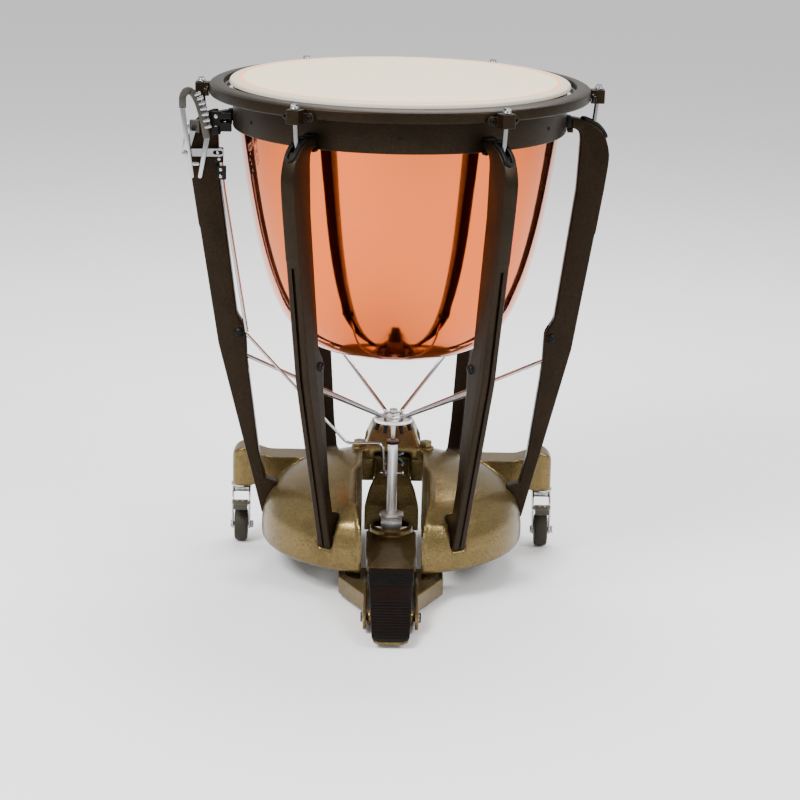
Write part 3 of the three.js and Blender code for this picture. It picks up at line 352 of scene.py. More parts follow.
def smooth(mesh: bpy.types.Mesh, crease: float) -> None:
    """Shades a mesh smooth, with hard edges where it turns by more than the crease angle."""
    mesh.polygons.foreach_set("use_smooth", [True] * len(mesh.polygons))
    mesh.set_sharp_from_angle(angle=crease * DEGREE)
    mesh.update()


def settled(piece: bpy.types.Object) -> bpy.types.Object:
    """Applies an object's modifiers, so that only a plain mesh is left."""
    bpy.context.view_layer.update()
    graph = bpy.context.evaluated_depsgraph_get()
    mesh = bpy.data.meshes.new_from_object(piece.evaluated_get(graph), depsgraph=graph)
    piece.modifiers.clear()
    old = piece.data
    piece.data = mesh
    mesh.name = piece.name
    bpy.data.meshes.remove(old)
    return piece


def bevelled(piece: bpy.types.Object, width: float, steps: int = 3, angle: float = 40) -> bpy.types.Object:
    """Rounds a piece's hard edges, with the width in millimetres."""
    bevel = piece.modifiers.new("edges", "BEVEL")
    bevel.width = width * MM
    bevel.segments = steps
    bevel.limit_method = "ANGLE"
    bevel.angle_limit = angle * DEGREE
    bevel.use_clamp_overlap = False
    settled(piece)
    smooth(piece.data, 30)
    return piece


def combined(piece: bpy.types.Object, tool: Form, operation: str) -> bpy.types.Object:
    """Cuts a piece with a form, or keeps what they share, as a boolean modifier names it."""
    cutter = made("tool", tool)
    change = piece.modifiers.new("change", "BOOLEAN")
    change.object = cutter
    change.operation = operation
    change.solver = "EXACT"
    settled(piece)
    discard(cutter)
    return piece


def cut(piece: bpy.types.Object, *tools: Form) -> bpy.types.Object:
    """Cuts forms out of a piece, one after another."""
    for tool in tools:
        combined(piece, tool, "DIFFERENCE")
    return piece


def form_of(piece: bpy.types.Object) -> Form:
    """A piece's mesh as a form again; the piece goes."""
    places = [vertex.co for vertex in piece.data.vertices]
    verts = [Vector(((at.x - AXIS.x) / MM, (at.y - AXIS.y) / MM, at.z / MM)) for at in places]
    faces = [tuple(polygon.vertices) for polygon in piece.data.polygons]
    discard(piece)
    return Form(verts, faces)


def shared(one: Form, other: Form) -> Form:
    """What two forms have in common."""
    return form_of(combined(made("common", one), other, "INTERSECT"))


def cast(
    name: str, solids: Sequence[Form], cuts: Sequence[Form], grain: float, relax: int
) -> bpy.types.Object:
    """Runs solids into one skin with soft inner corners, as a sand casting has.

    Args:
        name: the piece's name.
        solids: what the casting is the sum of.
        cuts: what is taken out of it.
        grain: the size of the skin's cells, in millimetres.
        relax: how many times the skin is smoothed.

    Returns:
        The cast piece.
    """
    piece = made(name, solids[0])
    for solid in solids[1:]:
        combined(piece, solid, "UNION")
    cut(piece, *cuts)
    skin = piece.modifiers.new("skin", "REMESH")
    skin.mode = "VOXEL"
    skin.voxel_size = grain * MM
    skin.use_smooth_shade = True
    ease = piece.modifiers.new("ease", "SMOOTH")
    ease.factor = 0.5
    ease.iterations = relax
    settled(piece)
    smooth(piece.data, 60)
    return piece


def copied(piece: bpy.types.Object, name: str, matrix: Matrix) -> bpy.types.Object:
    """A copy of a piece, turned about the drum's axis and still at the origin itself."""
    mesh = piece.data.copy()
    mesh.name = name
    centre = Matrix.Translation(Vector((AXIS.x, AXIS.y, 0)))
    mesh.transform(centre @ matrix @ centre.inverted())
    fresh = bpy.data.objects.new(name, mesh)
    bpy.context.scene.collection.objects.link(fresh)
    return fresh


def discard(*pieces: bpy.types.Object) -> None:
    """Removes patterns that only their copies are needed of."""
    for piece in pieces:
        mesh = piece.data
        bpy.data.objects.remove(piece)
        bpy.data.meshes.remove(mesh)


# ------------------------------------------------------------------ node trees


class Expr:
    """A socket that Python's operators work on; each adds a Math node to its tree."""

    def __init__(self, tree: Nodes, socket: bpy.types.NodeSocket) -> None:
        """Wraps one output socket."""
        self.tree = tree
        self.socket = socket

    def _math(self, operation: str, *values: object) -> Expr:
        """Adds a Math node."""
        return self.tree.add("ShaderNodeMath", {"operation": operation}, dict(enumerate(values)))

    def __add__(self, other: object) -> Expr:
        """Sum."""
        return self._math("ADD", self, other)

    def __sub__(self, other: object) -> Expr:
        """Difference."""
        return self._math("SUBTRACT", self, other)

    def __mul__(self, other: object) -> Expr:
        """Product."""
        return self._math("MULTIPLY", self, other)

    def __truediv__(self, other: object) -> Expr:
        """Quotient."""
        return self._math("DIVIDE", self, other)

    def __pow__(self, other: object) -> Expr:
        """Power."""
        return self._math("POWER", self, other)

    def __radd__(self, other: object) -> Expr:
        """Sum, reflected."""
        return self._math("ADD", other, self)

    def __rsub__(self, other: object) -> Expr:
        """Difference, reflected."""
        return self._math("SUBTRACT", other, self)

    def __rmul__(self, other: object) -> Expr:
        """Product, reflected."""
        return self._math("MULTIPLY", other, self)

    def __rtruediv__(self, other: object) -> Expr:
        """Quotient, reflected."""
        return self._math("DIVIDE", other, self)

    def sine(self) -> Expr:
        """Sine."""
        return self._math("SINE", self)

    def cosine(self) -> Expr:
        """Cosine."""
        return self._math("COSINE", self)

    def root(self) -> Expr:
        """Square root."""
        return self._math("SQRT", self)

    def above(self, level: object) -> Expr:
        """1 where it is greater than a level, else 0."""
        return self._math("GREATER_THAN", self, level)

    def step(self, low: float, high: float) -> Expr:
        """0 below low, 1 above high and smooth between."""
        values = {"Value": self, "From Min": low, "From Max": high}
        return self.tree.add("ShaderNodeMapRange", {"interpolation_type": "SMOOTHSTEP"}, values)

    def ramp(self, low: float, high: float) -> Expr:
        """The value, which runs from 0 to 1, spread over a new range."""
        return self * (high - low) + low


class Nodes:
    """A node tree, with one method that adds any node."""

    def __init__(self, tree: bpy.types.NodeTree) -> None:
        """Wraps a tree."""
        self.tree = tree

    def add(
        self, kind: str, settings: dict | None = None, values: dict | None = None, out: object = 0
    ) -> Expr:
        """Adds a node.

        Args:
            kind: the node's type.
            settings: its properties, set first; "stops" is a ramp's places and colours.
            values: its inputs by name or number, as numbers, colours or expressions.
            out: which output is wanted.

        Returns:
            That output as an expression.
        """
        node = self.tree.nodes.new(kind)
        for key, value in (settings or {}).items():
            if key == "stops":
                ramp = node.color_ramp
                while len(ramp.elements) < len(value):
                    ramp.elements.new(0.5)
                for element, (place, colour) in zip(ramp.elements, value):
                    element.position = place
                    element.color = colour
            else:
                setattr(node, key, value)
        for key, value in (values or {}).items():
            self.join(node.inputs[key], value)
        return Expr(self, node.outputs[out]) if len(node.outputs) else Expr(self, None)

    def join(self, socket: bpy.types.NodeSocket, value: object) -> None:
        """Links an expression to a socket, or sets the socket's own value."""
        if isinstance(value, Expr):
            self.tree.links.new(value.socket, socket)
        elif value is not None:
            socket.default_value = value

    def mix(self, factor: object, one: object, other: object) -> Expr:
        """A colour between two."""
        values = {"Factor": factor, 6: one, 7: other}
        return self.add("ShaderNodeMix", {"data_type": "RGBA"}, values, 2)

    def noise(self, where: Expr, scale: float, detail: float = 3, rough: float = 0.5) -> Expr:
        """Noise from 0 to 1, with its scale in waves a metre."""
        values = {"Vector": where, "Scale": scale, "Detail": detail, "Roughness": rough}
        return self.add("ShaderNodeTexNoise", {}, values)

    def cells(self, where: Expr, scale: float) -> Expr:
        """Distance to the middle of soft cells."""
        values = {"Vector": where, "Scale": scale, "Smoothness": 0.6}
        return self.add("ShaderNodeTexVoronoi", {"feature": "SMOOTH_F1"}, values)

    def stretched(self, where: Expr, scale: Flat, origin: Flat = (0, 0, 0)) -> Expr:
        """Coordinates about a point, scaled along each axis."""
        moved = self.add("ShaderNodeVectorMath", {"operation": "SUBTRACT"}, {0: where, 1: origin})
        return self.add("ShaderNodeVectorMath", {"operation": "MULTIPLY"}, {0: moved, 1: scale})

    def split(self, vector: Expr) -> tuple[Expr, Expr, Expr]:
        """A vector's three numbers."""
        node = self.add("ShaderNodeSeparateXYZ", {}, {0: vector}).socket.node
        return tuple(Expr(self, output) for output in node.outputs)


# ------------------------------------------------------------------ finishes

Colour = tuple[float, float, float]


def rgba(colour: Colour) -> tuple[float, float, float, float]:
    """A colour with full alpha."""
    return (*colour, 1.0)


@dataclass(frozen=True)
class Finish:
    """A surface; each kind draws its own nodes."""

    name: str
    colour: Colour
    roughness: float

    def material(self) -> bpy.types.Material:
        """The material, made once and kept by name."""
        found = bpy.data.materials.get(self.name)
        if found:
            return found
        made_now = bpy.data.materials.new(self.name)
        made_now.use_nodes = True
        made_now.diffuse_color = rgba(self.colour)
        nodes = Nodes(made_now.node_tree)
        shader = made_now.node_tree.nodes["Principled BSDF"]
        where = nodes.add("ShaderNodeTexCoord", {}, {}, "Object")
        self.draw(nodes, shader, where)
        return made_now

    def draw(self, nodes: Nodes, shader: bpy.types.Node, where: Expr) -> None:
        """Draws the surface's nodes."""
        raise NotImplementedError

    def bump(self, nodes: Nodes, shader: bpy.types.Node, height: Expr, strength: float, depth: float) -> None:
        """Adds relief, with its depth in millimetres."""
        values = {"Height": height, "Strength": strength, "Distance": depth * MM}
        nodes.join(shader.inputs["Normal"], nodes.add("ShaderNodeBump", {}, values))


@dataclass(frozen=True)
class HammerPaint(Finish):
    """Hammertone paint: metal flake drawn into dimples, with darker paint between them."""

    dark: Colour = (0.02, 0.016, 0.012)
    light: Colour = (0.2, 0.17, 0.13)
    metallic: float = 0.65
    dimple: float = 2.6  # size of a dimple, in millimetres

    def draw(self, nodes: Nodes, shader: bpy.types.Node, where: Expr) -> None:
        """Dimples, flake and slow drifts of colour."""
        scale = 1 / (self.dimple * MM)
        dimples = nodes.cells(where, scale)
        flake = nodes.noise(where, scale * 2.4, 2, 0.6)
        drift = nodes.noise(where, 14, 3)
        grain = flake.step(0.36, 0.66)
        base = nodes.mix(grain * 0.75, rgba(self.colour), rgba(self.light))
        shade = nodes.mix(dimples.step(0.3, 0.9) * 0.45, base, rgba(self.dark))
        drifted = nodes.mix(drift.step(0.45, 0.8) * 0.3, shade, rgba(self.dark))
        nodes.join(shader.inputs["Base Color"], drifted)
        nodes.join(shader.inputs["Roughness"], grain.ramp(self.roughness + 0.1, self.roughness - 0.06))
        shader.inputs["Metallic"].default_value = self.metallic
        shader.inputs["Coat Weight"].default_value = 0.03
        shader.inputs["Coat Roughness"].default_value = 0.2
        shader.inputs["Specular IOR Level"].default_value = 0.12
        self.bump(nodes, shader, dimples + flake * 0.35, 0.5, 0.3)


@dataclass(frozen=True)
class SpunCopper(Finish):
    """Polished copper with faint rings from the lathe and a soft bloom of tarnish."""

    tarnish: Colour = (0.62, 0.16, 0.06)

    def draw(self, nodes: Nodes, shader: bpy.types.Node, where: Expr) -> None:
        """Rings, bloom and fine wipe marks."""
        middle_of = (AXIS.x, AXIS.y, 0)
        rings = nodes.noise(nodes.stretched(where, (6, 6, 900), middle_of), 1.0, 3, 0.6)
        bloom = nodes.noise(where, 9, 4, 0.6)
        wipes = nodes.noise(nodes.stretched(where, (60, 60, 9), middle_of), 1.0, 4, 0.65)
        colour = nodes.mix(bloom.step(0.42, 0.82) * 0.3, rgba(self.colour), rgba(self.tarnish))
        nodes.join(shader.inputs["Base Color"], colour)
        rough = rings * 0.05 + wipes.step(0.4, 0.8) * 0.05 + (self.roughness - 0.03)
        nodes.join(shader.inputs["Roughness"], rough)
        shader.inputs["Metallic"].default_value = 1.0
        self.bump(nodes, shader, rings + bloom * 0.6, 0.06, 0.2)


@dataclass(frozen=True)
class BareMetal(Finish):
    """Plated or machined metal with fine marks along one axis and a little grime."""

    grime: Colour = (0.3, 0.29, 0.27)
    marks: Flat = (90, 90, 700)
    metallic: float = 1.0
    depth: float = 0.05

    def draw(self, nodes: Nodes, shader: bpy.types.Node, where: Expr) -> None:
        """Tool marks and grime."""
        lines = nodes.noise(nodes.stretched(where, self.marks), 1.0, 3, 0.6)
        dirt = nodes.noise(where, 45, 4, 0.65)
        colour = nodes.mix(dirt.step(0.5, 0.85) * 0.35, rgba(self.colour), rgba(self.grime))
        nodes.join(shader.inputs["Base Color"], colour)
        nodes.join(shader.inputs["Roughness"], lines * 0.12 + dirt * 0.08 + (self.roughness - 0.08))
        shader.inputs["Metallic"].default_value = self.metallic
        self.bump(nodes, shader, lines, 0.2, self.depth)


@dataclass(frozen=True)
class Moulded(Finish):
    """Rubber or plastic with a fine moulded grain and paler rubbed patches."""

    worn: Colour = (0.12, 0.12, 0.12)
    grain: float = 0.7  # size of the grain, in millimetres

    def draw(self, nodes: Nodes, shader: bpy.types.Node, where: Expr) -> None:
        """Grain and rubbed patches."""
        fine = nodes.noise(where, 1 / (self.grain * MM), 2)
        rubbed = nodes.noise(where, 30, 5, 0.7)
        patch = rubbed.step(0.5, 0.8)
        colour = nodes.mix(patch * 0.35 + fine * 0.12, rgba(self.colour), rgba(self.worn))
        nodes.join(shader.inputs["Base Color"], colour)
        nodes.join(shader.inputs["Roughness"], fine * 0.12 + patch * -0.1 + self.roughness)
        shader.inputs["Specular IOR Level"].default_value = 0.16
        self.bump(nodes, shader, fine, 0.25, 0.15)


@dataclass(frozen=True)
class DrumFilm(Finish):
    """Coated film: ivory in the middle, a warm band over the bearing edge and a paler collar outside it."""

    band: Colour = (0.95, 0.36, 0.17)
    collar: Colour = (0.5, 0.44, 0.33)
    band_r: float = 273.5
    collar_r: float = 281.0

    def draw(self, nodes: Nodes, shader: bpy.types.Node, where: Expr) -> None:
        """Rings of colour about the axis, over a faintly mottled coating."""
        x, y, _ = nodes.split(nodes.stretched(where, (1, 1, 1), (AXIS.x, AXIS.y, 0)))
        radius = (x * x + y * y).root()
        mottle = nodes.noise(where, 24, 4, 0.6)
        coat = nodes.noise(where, 1400, 2)
        cloudy = tuple(c * 0.94 for c in self.colour)
        film = nodes.mix(mottle.step(0.35, 0.75) * 0.5, rgba(self.colour), rgba(cloudy))
        edge = 1.2 * MM
        to_band = radius.step(self.band_r * MM - edge, self.band_r * MM + edge)
        to_collar = radius.step(self.collar_r * MM - edge, self.collar_r * MM + edge)
        ringed = nodes.mix(to_collar, nodes.mix(to_band, film, rgba(self.band)), rgba(self.collar))
        nodes.join(shader.inputs["Base Color"], ringed)
        nodes.join(shader.inputs["Roughness"], mottle * 0.1 + (self.roughness - 0.05))
        shader.inputs["Coat Weight"].default_value = 0.15
        shader.inputs["Coat Roughness"].default_value = 0.35
        self.bump(nodes, shader, coat + mottle, 0.12, 0.06)


BRONZE = HammerPaint(
    "bronze_hammertone",
    (0.008, 0.0045, 0.0022),
    0.36,
    dark=(0.002, 0.0012, 0.0006),
    light=(0.042, 0.027, 0.013),
    metallic=0.6,
    dimple=1.6,
)
GOLD = HammerPaint(
    "gold_hammertone",
    (0.062, 0.041, 0.013),
    0.27,
    dark=(0.012, 0.0075, 0.0025),
    light=(0.36, 0.265, 0.11),
    metallic=0.72,
    dimple=2.4,
)
COPPER = SpunCopper("spun_copper", (0.72, 0.145, 0.03), 0.07)
CHROME = BareMetal("bright_plating", (0.42, 0.42, 0.43), 0.14, grime=(0.2, 0.2, 0.2))
TURNED = BareMetal(
    "turned_aluminium",
    (0.9, 0.9, 0.92),
    0.32,
    grime=(0.6, 0.6, 0.6),
    marks=(40, 40, 2500),
    metallic=0.65,
    depth=0.08,
)
# Dark grey plate: the gauge's own plate colour, and painted shade where it dresses the aluminium flesh hoop.
PLATE_AND_SHADE = BareMetal(
    "grey_plate", (0.075, 0.07, 0.06), 0.42, grime=(0.04, 0.038, 0.034), marks=(300, 300, 300)
)
ZINC = BareMetal("blue_zinc", (0.42, 0.52, 0.6), 0.2, grime=(0.25, 0.3, 0.34))
WASHER = BareMetal("brown_washer", (0.16, 0.05, 0.03), 0.4, grime=(0.06, 0.03, 0.02), metallic=0.4)
BLACK = Moulded("black_rubber", (0.0012, 0.0012, 0.0012), 0.42, worn=(0.004, 0.004, 0.004))
JET = Moulded("black_paint", (0.003, 0.003, 0.003), 0.32, worn=(0.008, 0.008, 0.008), grain=0.4)
TAUPE = Moulded("taupe_plastic", (0.075, 0.066, 0.05), 0.45, worn=(0.15, 0.14, 0.12))
TYRE = Moulded("wheel_rubber", (0.03, 0.026, 0.02), 0.55, worn=(0.08, 0.07, 0.06))
FILM = DrumFilm("drum_film", (0.74, 0.62, 0.42), 0.55)


# ------------------------------------------------------------------ the bench


class Bench:
    """Puts finished pieces on the frame and keeps count."""

    def __init__(self) -> None:
        """Reads which body and slot each node belongs to."""
        record = frame["record"]
        self.body = {n: body for body, nodes in record["behaviour"]["bodies"].items() for n in nodes}
        self.slot = {part["node"]: part["material_slot"] for part in record["subparts"]}

    def fit(
        self, piece: bpy.types.Object, node: str, finish: Finish, stands_in: bool = True
    ) -> bpy.types.Object:
        """Dresses a piece and rides it on its node's body.

        Args:
            piece: the piece, in place.
            node: the CAD node that it stands for, or the one that it is fixed to.
            finish: its surface.
            stands_in: whether the node is hidden.

        Returns:
            The piece.
        """
        piece.data.materials.clear()
        piece.data.materials.append(finish.material())
        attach(piece, self.body[node])
        if stands_in:
            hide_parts(node)
        log.info("%s on %s: %d faces", piece.name, self.body[node], len(piece.data.polygons))
        return piece

    def dress(self, node: str, finish: Finish) -> None:
        """Gives a CAD node that stays its finish."""
        kept = frame["nodes"][node]
        kept.data.materials.clear()
        kept.data.materials.append(finish.material())


# ------------------------------------------------------------------ geometry nodes


class Growth:
    """A Geometry Nodes tree with named inputs, run once and turned into a plain mesh."""

    def __init__(self, name: str, inputs: dict[str, tuple[str, object]]) -> None:
        """Makes the tree and its inputs, each a socket type and a value."""
        self.tree = bpy.data.node_groups.new(name, "GeometryNodeTree")
        self.nodes = Nodes(self.tree)
        self.values = inputs
        self.tree.interface.new_socket("Geometry", in_out="OUTPUT", socket_type="NodeSocketGeometry")
        for label, (kind, value) in inputs.items():
            socket = self.tree.interface.new_socket(label, in_out="INPUT", socket_type=kind)
            if kind in ("NodeSocketFloat", "NodeSocketInt"):
                socket.default_value = value
        self.source = self.tree.nodes.new("NodeGroupInput")

    def get(self, label: str) -> Expr:
        """One of the tree's inputs."""
        return Expr(self.nodes, self.source.outputs[label])

    def grown(self, name: str, geometry: Expr, finish: Finish, crease: float = 35) -> bpy.types.Object:
        """Ends the tree with Realize Instances and Set Material, and gives its result as a piece."""
        real = self.nodes.add("GeometryNodeRealizeInstances", {}, {0: geometry})
        dressed = {"Geometry": real, "Material": finish.material()}
        done = self.nodes.add("GeometryNodeSetMaterial", {}, dressed)
        out = self.tree.nodes.new("NodeGroupOutput")
        self.tree.links.new(done.socket, out.inputs[0])
        piece = bpy.data.objects.new(name, bpy.data.meshes.new(name))
        bpy.context.scene.collection.objects.link(piece)
        grow = piece.modifiers.new("grow", "NODES")
        grow.node_group = self.tree
        for item in self.tree.interface.items_tree:
            if item.in_out == "INPUT" and item.name in self.values:
                grow[item.identifier] = self.values[item.name][1]
        settled(piece)
        sealed(piece.data, crease)
        return piece


# ------------------------------------------------------------------ head, hoops and bowl


@dataclass
class Bowl:
    """The copper bowl with its film head, hoops and suspension ring."""

    bench: Bench
    wall: float = 2.4
    across_power: float = 5.3
    down_power: float = 1.14
    vent_r: float = 12.0
    columns: int = 193
    rows: int = 130
    last_row: float = 0.9999
    rim_drop: float = 15.6
    bottom_z: float = SPIDER_Z + 136
    lip_r: float = HEAD_R + 15
    hoop_top: float = HEAD_Z - 5
    hoop_bottom: float = HEAD_Z - 28
    ring_deep: float = 85.0
    ring_wall: float = 4.8
    screws: int = 6
    screw_drop: float = 60.0

    def build(self) -> None:
        """Builds the pieces from the bowl up."""
        self.kettle()
        self.suspension()
        self.head()
        self.hoops()

    def kettle(self) -> None:
        """The bowl: one closed grid whose radius follows a superellipse, out and back in."""
        radius = (RING_R - 5.2) * MM
        top = (HEAD_Z - self.rim_drop) * MM
        tree = Growth(
            "bowl of revolution",
            {
                "Radius": ("NodeSocketFloat", radius),
                "Rim height": ("NodeSocketFloat", top),
                "Depth": ("NodeSocketFloat", top - self.bottom_z * MM),
                "Wall": ("NodeSocketFloat", self.wall * MM),
                "Vent radius": ("NodeSocketFloat", self.vent_r * MM),
                "Flatness": ("NodeSocketFloat", self.across_power),
                "Fall": ("NodeSocketFloat", self.down_power),
            },
        )
        nodes = tree.nodes
        size = {"Size X": 1.0, "Size Y": 1.0, "Vertices X": self.columns, "Vertices Y": self.rows}
        grid = nodes.add("GeometryNodeMeshGrid", {}, size)
        place = nodes.add("GeometryNodeInputPosition")
        x, y, _ = nodes.split(place)
        v = y + 0.5
        inner = v.above(0.5) * (1 - v.above(self.last_row))
        turn_back = v.above(self.last_row)
        along = (v - 0.5)._math("ABSOLUTE", v - 0.5) * 2 * (1 - turn_back) + turn_back
        outer_r = tree.get("Radius") - inner * tree.get("Wall")
        least = tree.get("Vent radius") / tree.get("Radius")
        share = least + (1 - least) * ((1 - along) * (math.pi / 2)).sine()
        fall = 1 - share ** tree.get("Flatness")
        down = fall._math("MAXIMUM", fall, 0.0) ** (1 / tree.get("Fall"))
        r = outer_r * share
        z = tree.get("Rim height") - down * (tree.get("Depth") - inner * tree.get("Wall"))
        angle = (x + 0.5) * (2 * math.pi)
        round_axis = {0: angle.cosine() * r + AXIS.x, 1: angle.sine() * r + AXIS.y, 2: z}
        spot = nodes.add("ShaderNodeCombineXYZ", {}, round_axis)
        bowl = nodes.add("GeometryNodeSetPosition", {}, {"Geometry": grid, "Position": spot})
        shell = tree.grown("kettle_bowl", bowl, COPPER, 60)
        lip, foot = HEAD_Z - 1.8, HEAD_Z - self.rim_drop + 0.2
        corners = [(RING_R, foot), (RING_R + 0.4, lip), (RING_R - 3, lip), (RING_R - 8, foot)]
        flange = turned([*filleted(corners, 0.8, 3), (RING_R, foot)])
        edge = made("kettle_flange", flange)
        self.bench.fit(shell, "kettle", COPPER)
        self.bench.fit(edge, "kettle", COPPER, False)

    def suspension(self) -> None:
        """The deep ring that the bowl hangs in, with a small screw between each pair of struts."""
        top, bottom, inside = HEAD_Z - 16, HEAD_Z - self.ring_deep, RING_R - self.ring_wall
        corners = [(inside, bottom + 1, 1.2), (RING_R, bottom, 2.4), (RING_R, top, 1.2), (inside, top, 1)]
        piece = made("suspension_band", ringed(filleted(corners, 1, 5)))
        self.bench.fit(piece, "suspension_ring", BRONZE)
        head = turned([(0, 0), (3.2, 0), (3.2, 1.0), (2.3, 1.8), (1.2, 1.9), (1.0, 0.9), (0, 0.9)], 20)
        screws = self.ring_of(head, "ring_screws", RING_R - 0.2, HEAD_Z - self.screw_drop, 30.0)
        self.bench.fit(screws, "suspension_ring", JET, False)

    def ring_of(self, head: Form, name: str, radius: float, z: float, first: float) -> bpy.types.Object:
        """Copies of a small turned piece round a circle, each facing outwards."""
        pattern = made("pattern", head.moved(-AXIS.x / MM, -AXIS.y / MM, 0))
        tree = Growth(
            "fixings round a circle",
            {
                "Count": ("NodeSocketInt", self.screws),
                "Radius": ("NodeSocketFloat", radius * MM),
                "Height": ("NodeSocketFloat", z * MM),
                "First angle": ("NodeSocketFloat", first * DEGREE),
            },
        )
        nodes = tree.nodes
        circle = {"Vertices": tree.get("Count"), "Radius": tree.get("Radius")}
        ring = nodes.add("GeometryNodeMeshCircle", {}, circle)
        place = nodes.add("GeometryNodeInputPosition")
        facing = nodes.add("FunctionNodeAlignRotationToVector", {"axis": "Z"}, {"Vector": place})
        screw = nodes.add("GeometryNodeObjectInfo", {}, {"Object": pattern}, "Geometry")
        spread = {"Points": ring, "Instance": screw, "Rotation": facing}
        copies = nodes.add("GeometryNodeInstanceOnPoints", {}, spread)
        turn = nodes.add("ShaderNodeCombineXYZ", {}, {2: tree.get("First angle")})
        lift = nodes.add("ShaderNodeCombineXYZ", {}, {0: AXIS.x, 1: AXIS.y, 2: tree.get("Height")})
        shift = {"Geometry": copies, "Translation": lift, "Rotation": turn}
        moved = nodes.add("GeometryNodeTransform", {}, shift)
        piece = tree.grown(name, moved, JET, 35)
        discard(pattern)
        return piece

    def head(self) -> None:
        """The film, drawn over the bearing edge and down into its collar."""
        low, edge = HEAD_Z - 1.2, HEAD_R + 5.5
        profile = [(0, low, 0), (HEAD_R, low), (edge - 1.2, HEAD_Z - 8, 0.5), (edge, HEAD_Z - 8, 0.5)]
        profile += [(edge - 1.5, HEAD_Z - 2.5, 4), (HEAD_R - 2, HEAD_Z, 12), (0, HEAD_Z, 0)]
        self.bench.fit(made("head_film", turned(filleted(profile, 1, 5))), "drumhead", FILM)

    def hoops(self) -> None:
        """The counterhoop's rounded channel and the flesh hoop under its lip, whose dark grey finish is
        painted shade.
        """
        under, wall = self.hoop_top - 10, HOOP_R - 15
        profile = filleted(
            [
                (self.lip_r, under, 1.5),
                (wall, under, 1),
                (wall, self.hoop_bottom, 1),
                (HOOP_R, self.hoop_bottom, 2.5),
                (HOOP_R, self.hoop_top - 6, 3.5),
                (HOOP_R - 7, self.hoop_top - 2.2, 14),
                (self.lip_r + 4, self.hoop_top, 6),
                (self.lip_r, self.hoop_top - 1.5, 2.2),
            ],
            1,
            6,
        )
        hoop = made("counterhoop_rim", ringed(profile, 192))
        self.bench.fit(hoop, "counterhoop", BRONZE)
        top, low, inside, outside = under - 0.4, under - 10.4, HEAD_R + 9, HEAD_R + 24
        band = filleted([(inside, low), (outside, low), (outside, top), (inside, top)], 2.5)
        # The flesh hoop is aluminium; its dark grey finish is painted shade under the counterhoop's lip.
        self.bench.fit(made("flesh_band", ringed(band)), "flesh_hoop", PLATE_AND_SHADE)


# ------------------------------------------------------------------ struts


def facing(index: int) -> Matrix:
    """Turns a piece that was built along +X to the strut of that number."""
    return Matrix.Rotation((-240 + 60 * index) * DEGREE, 4, "Z")


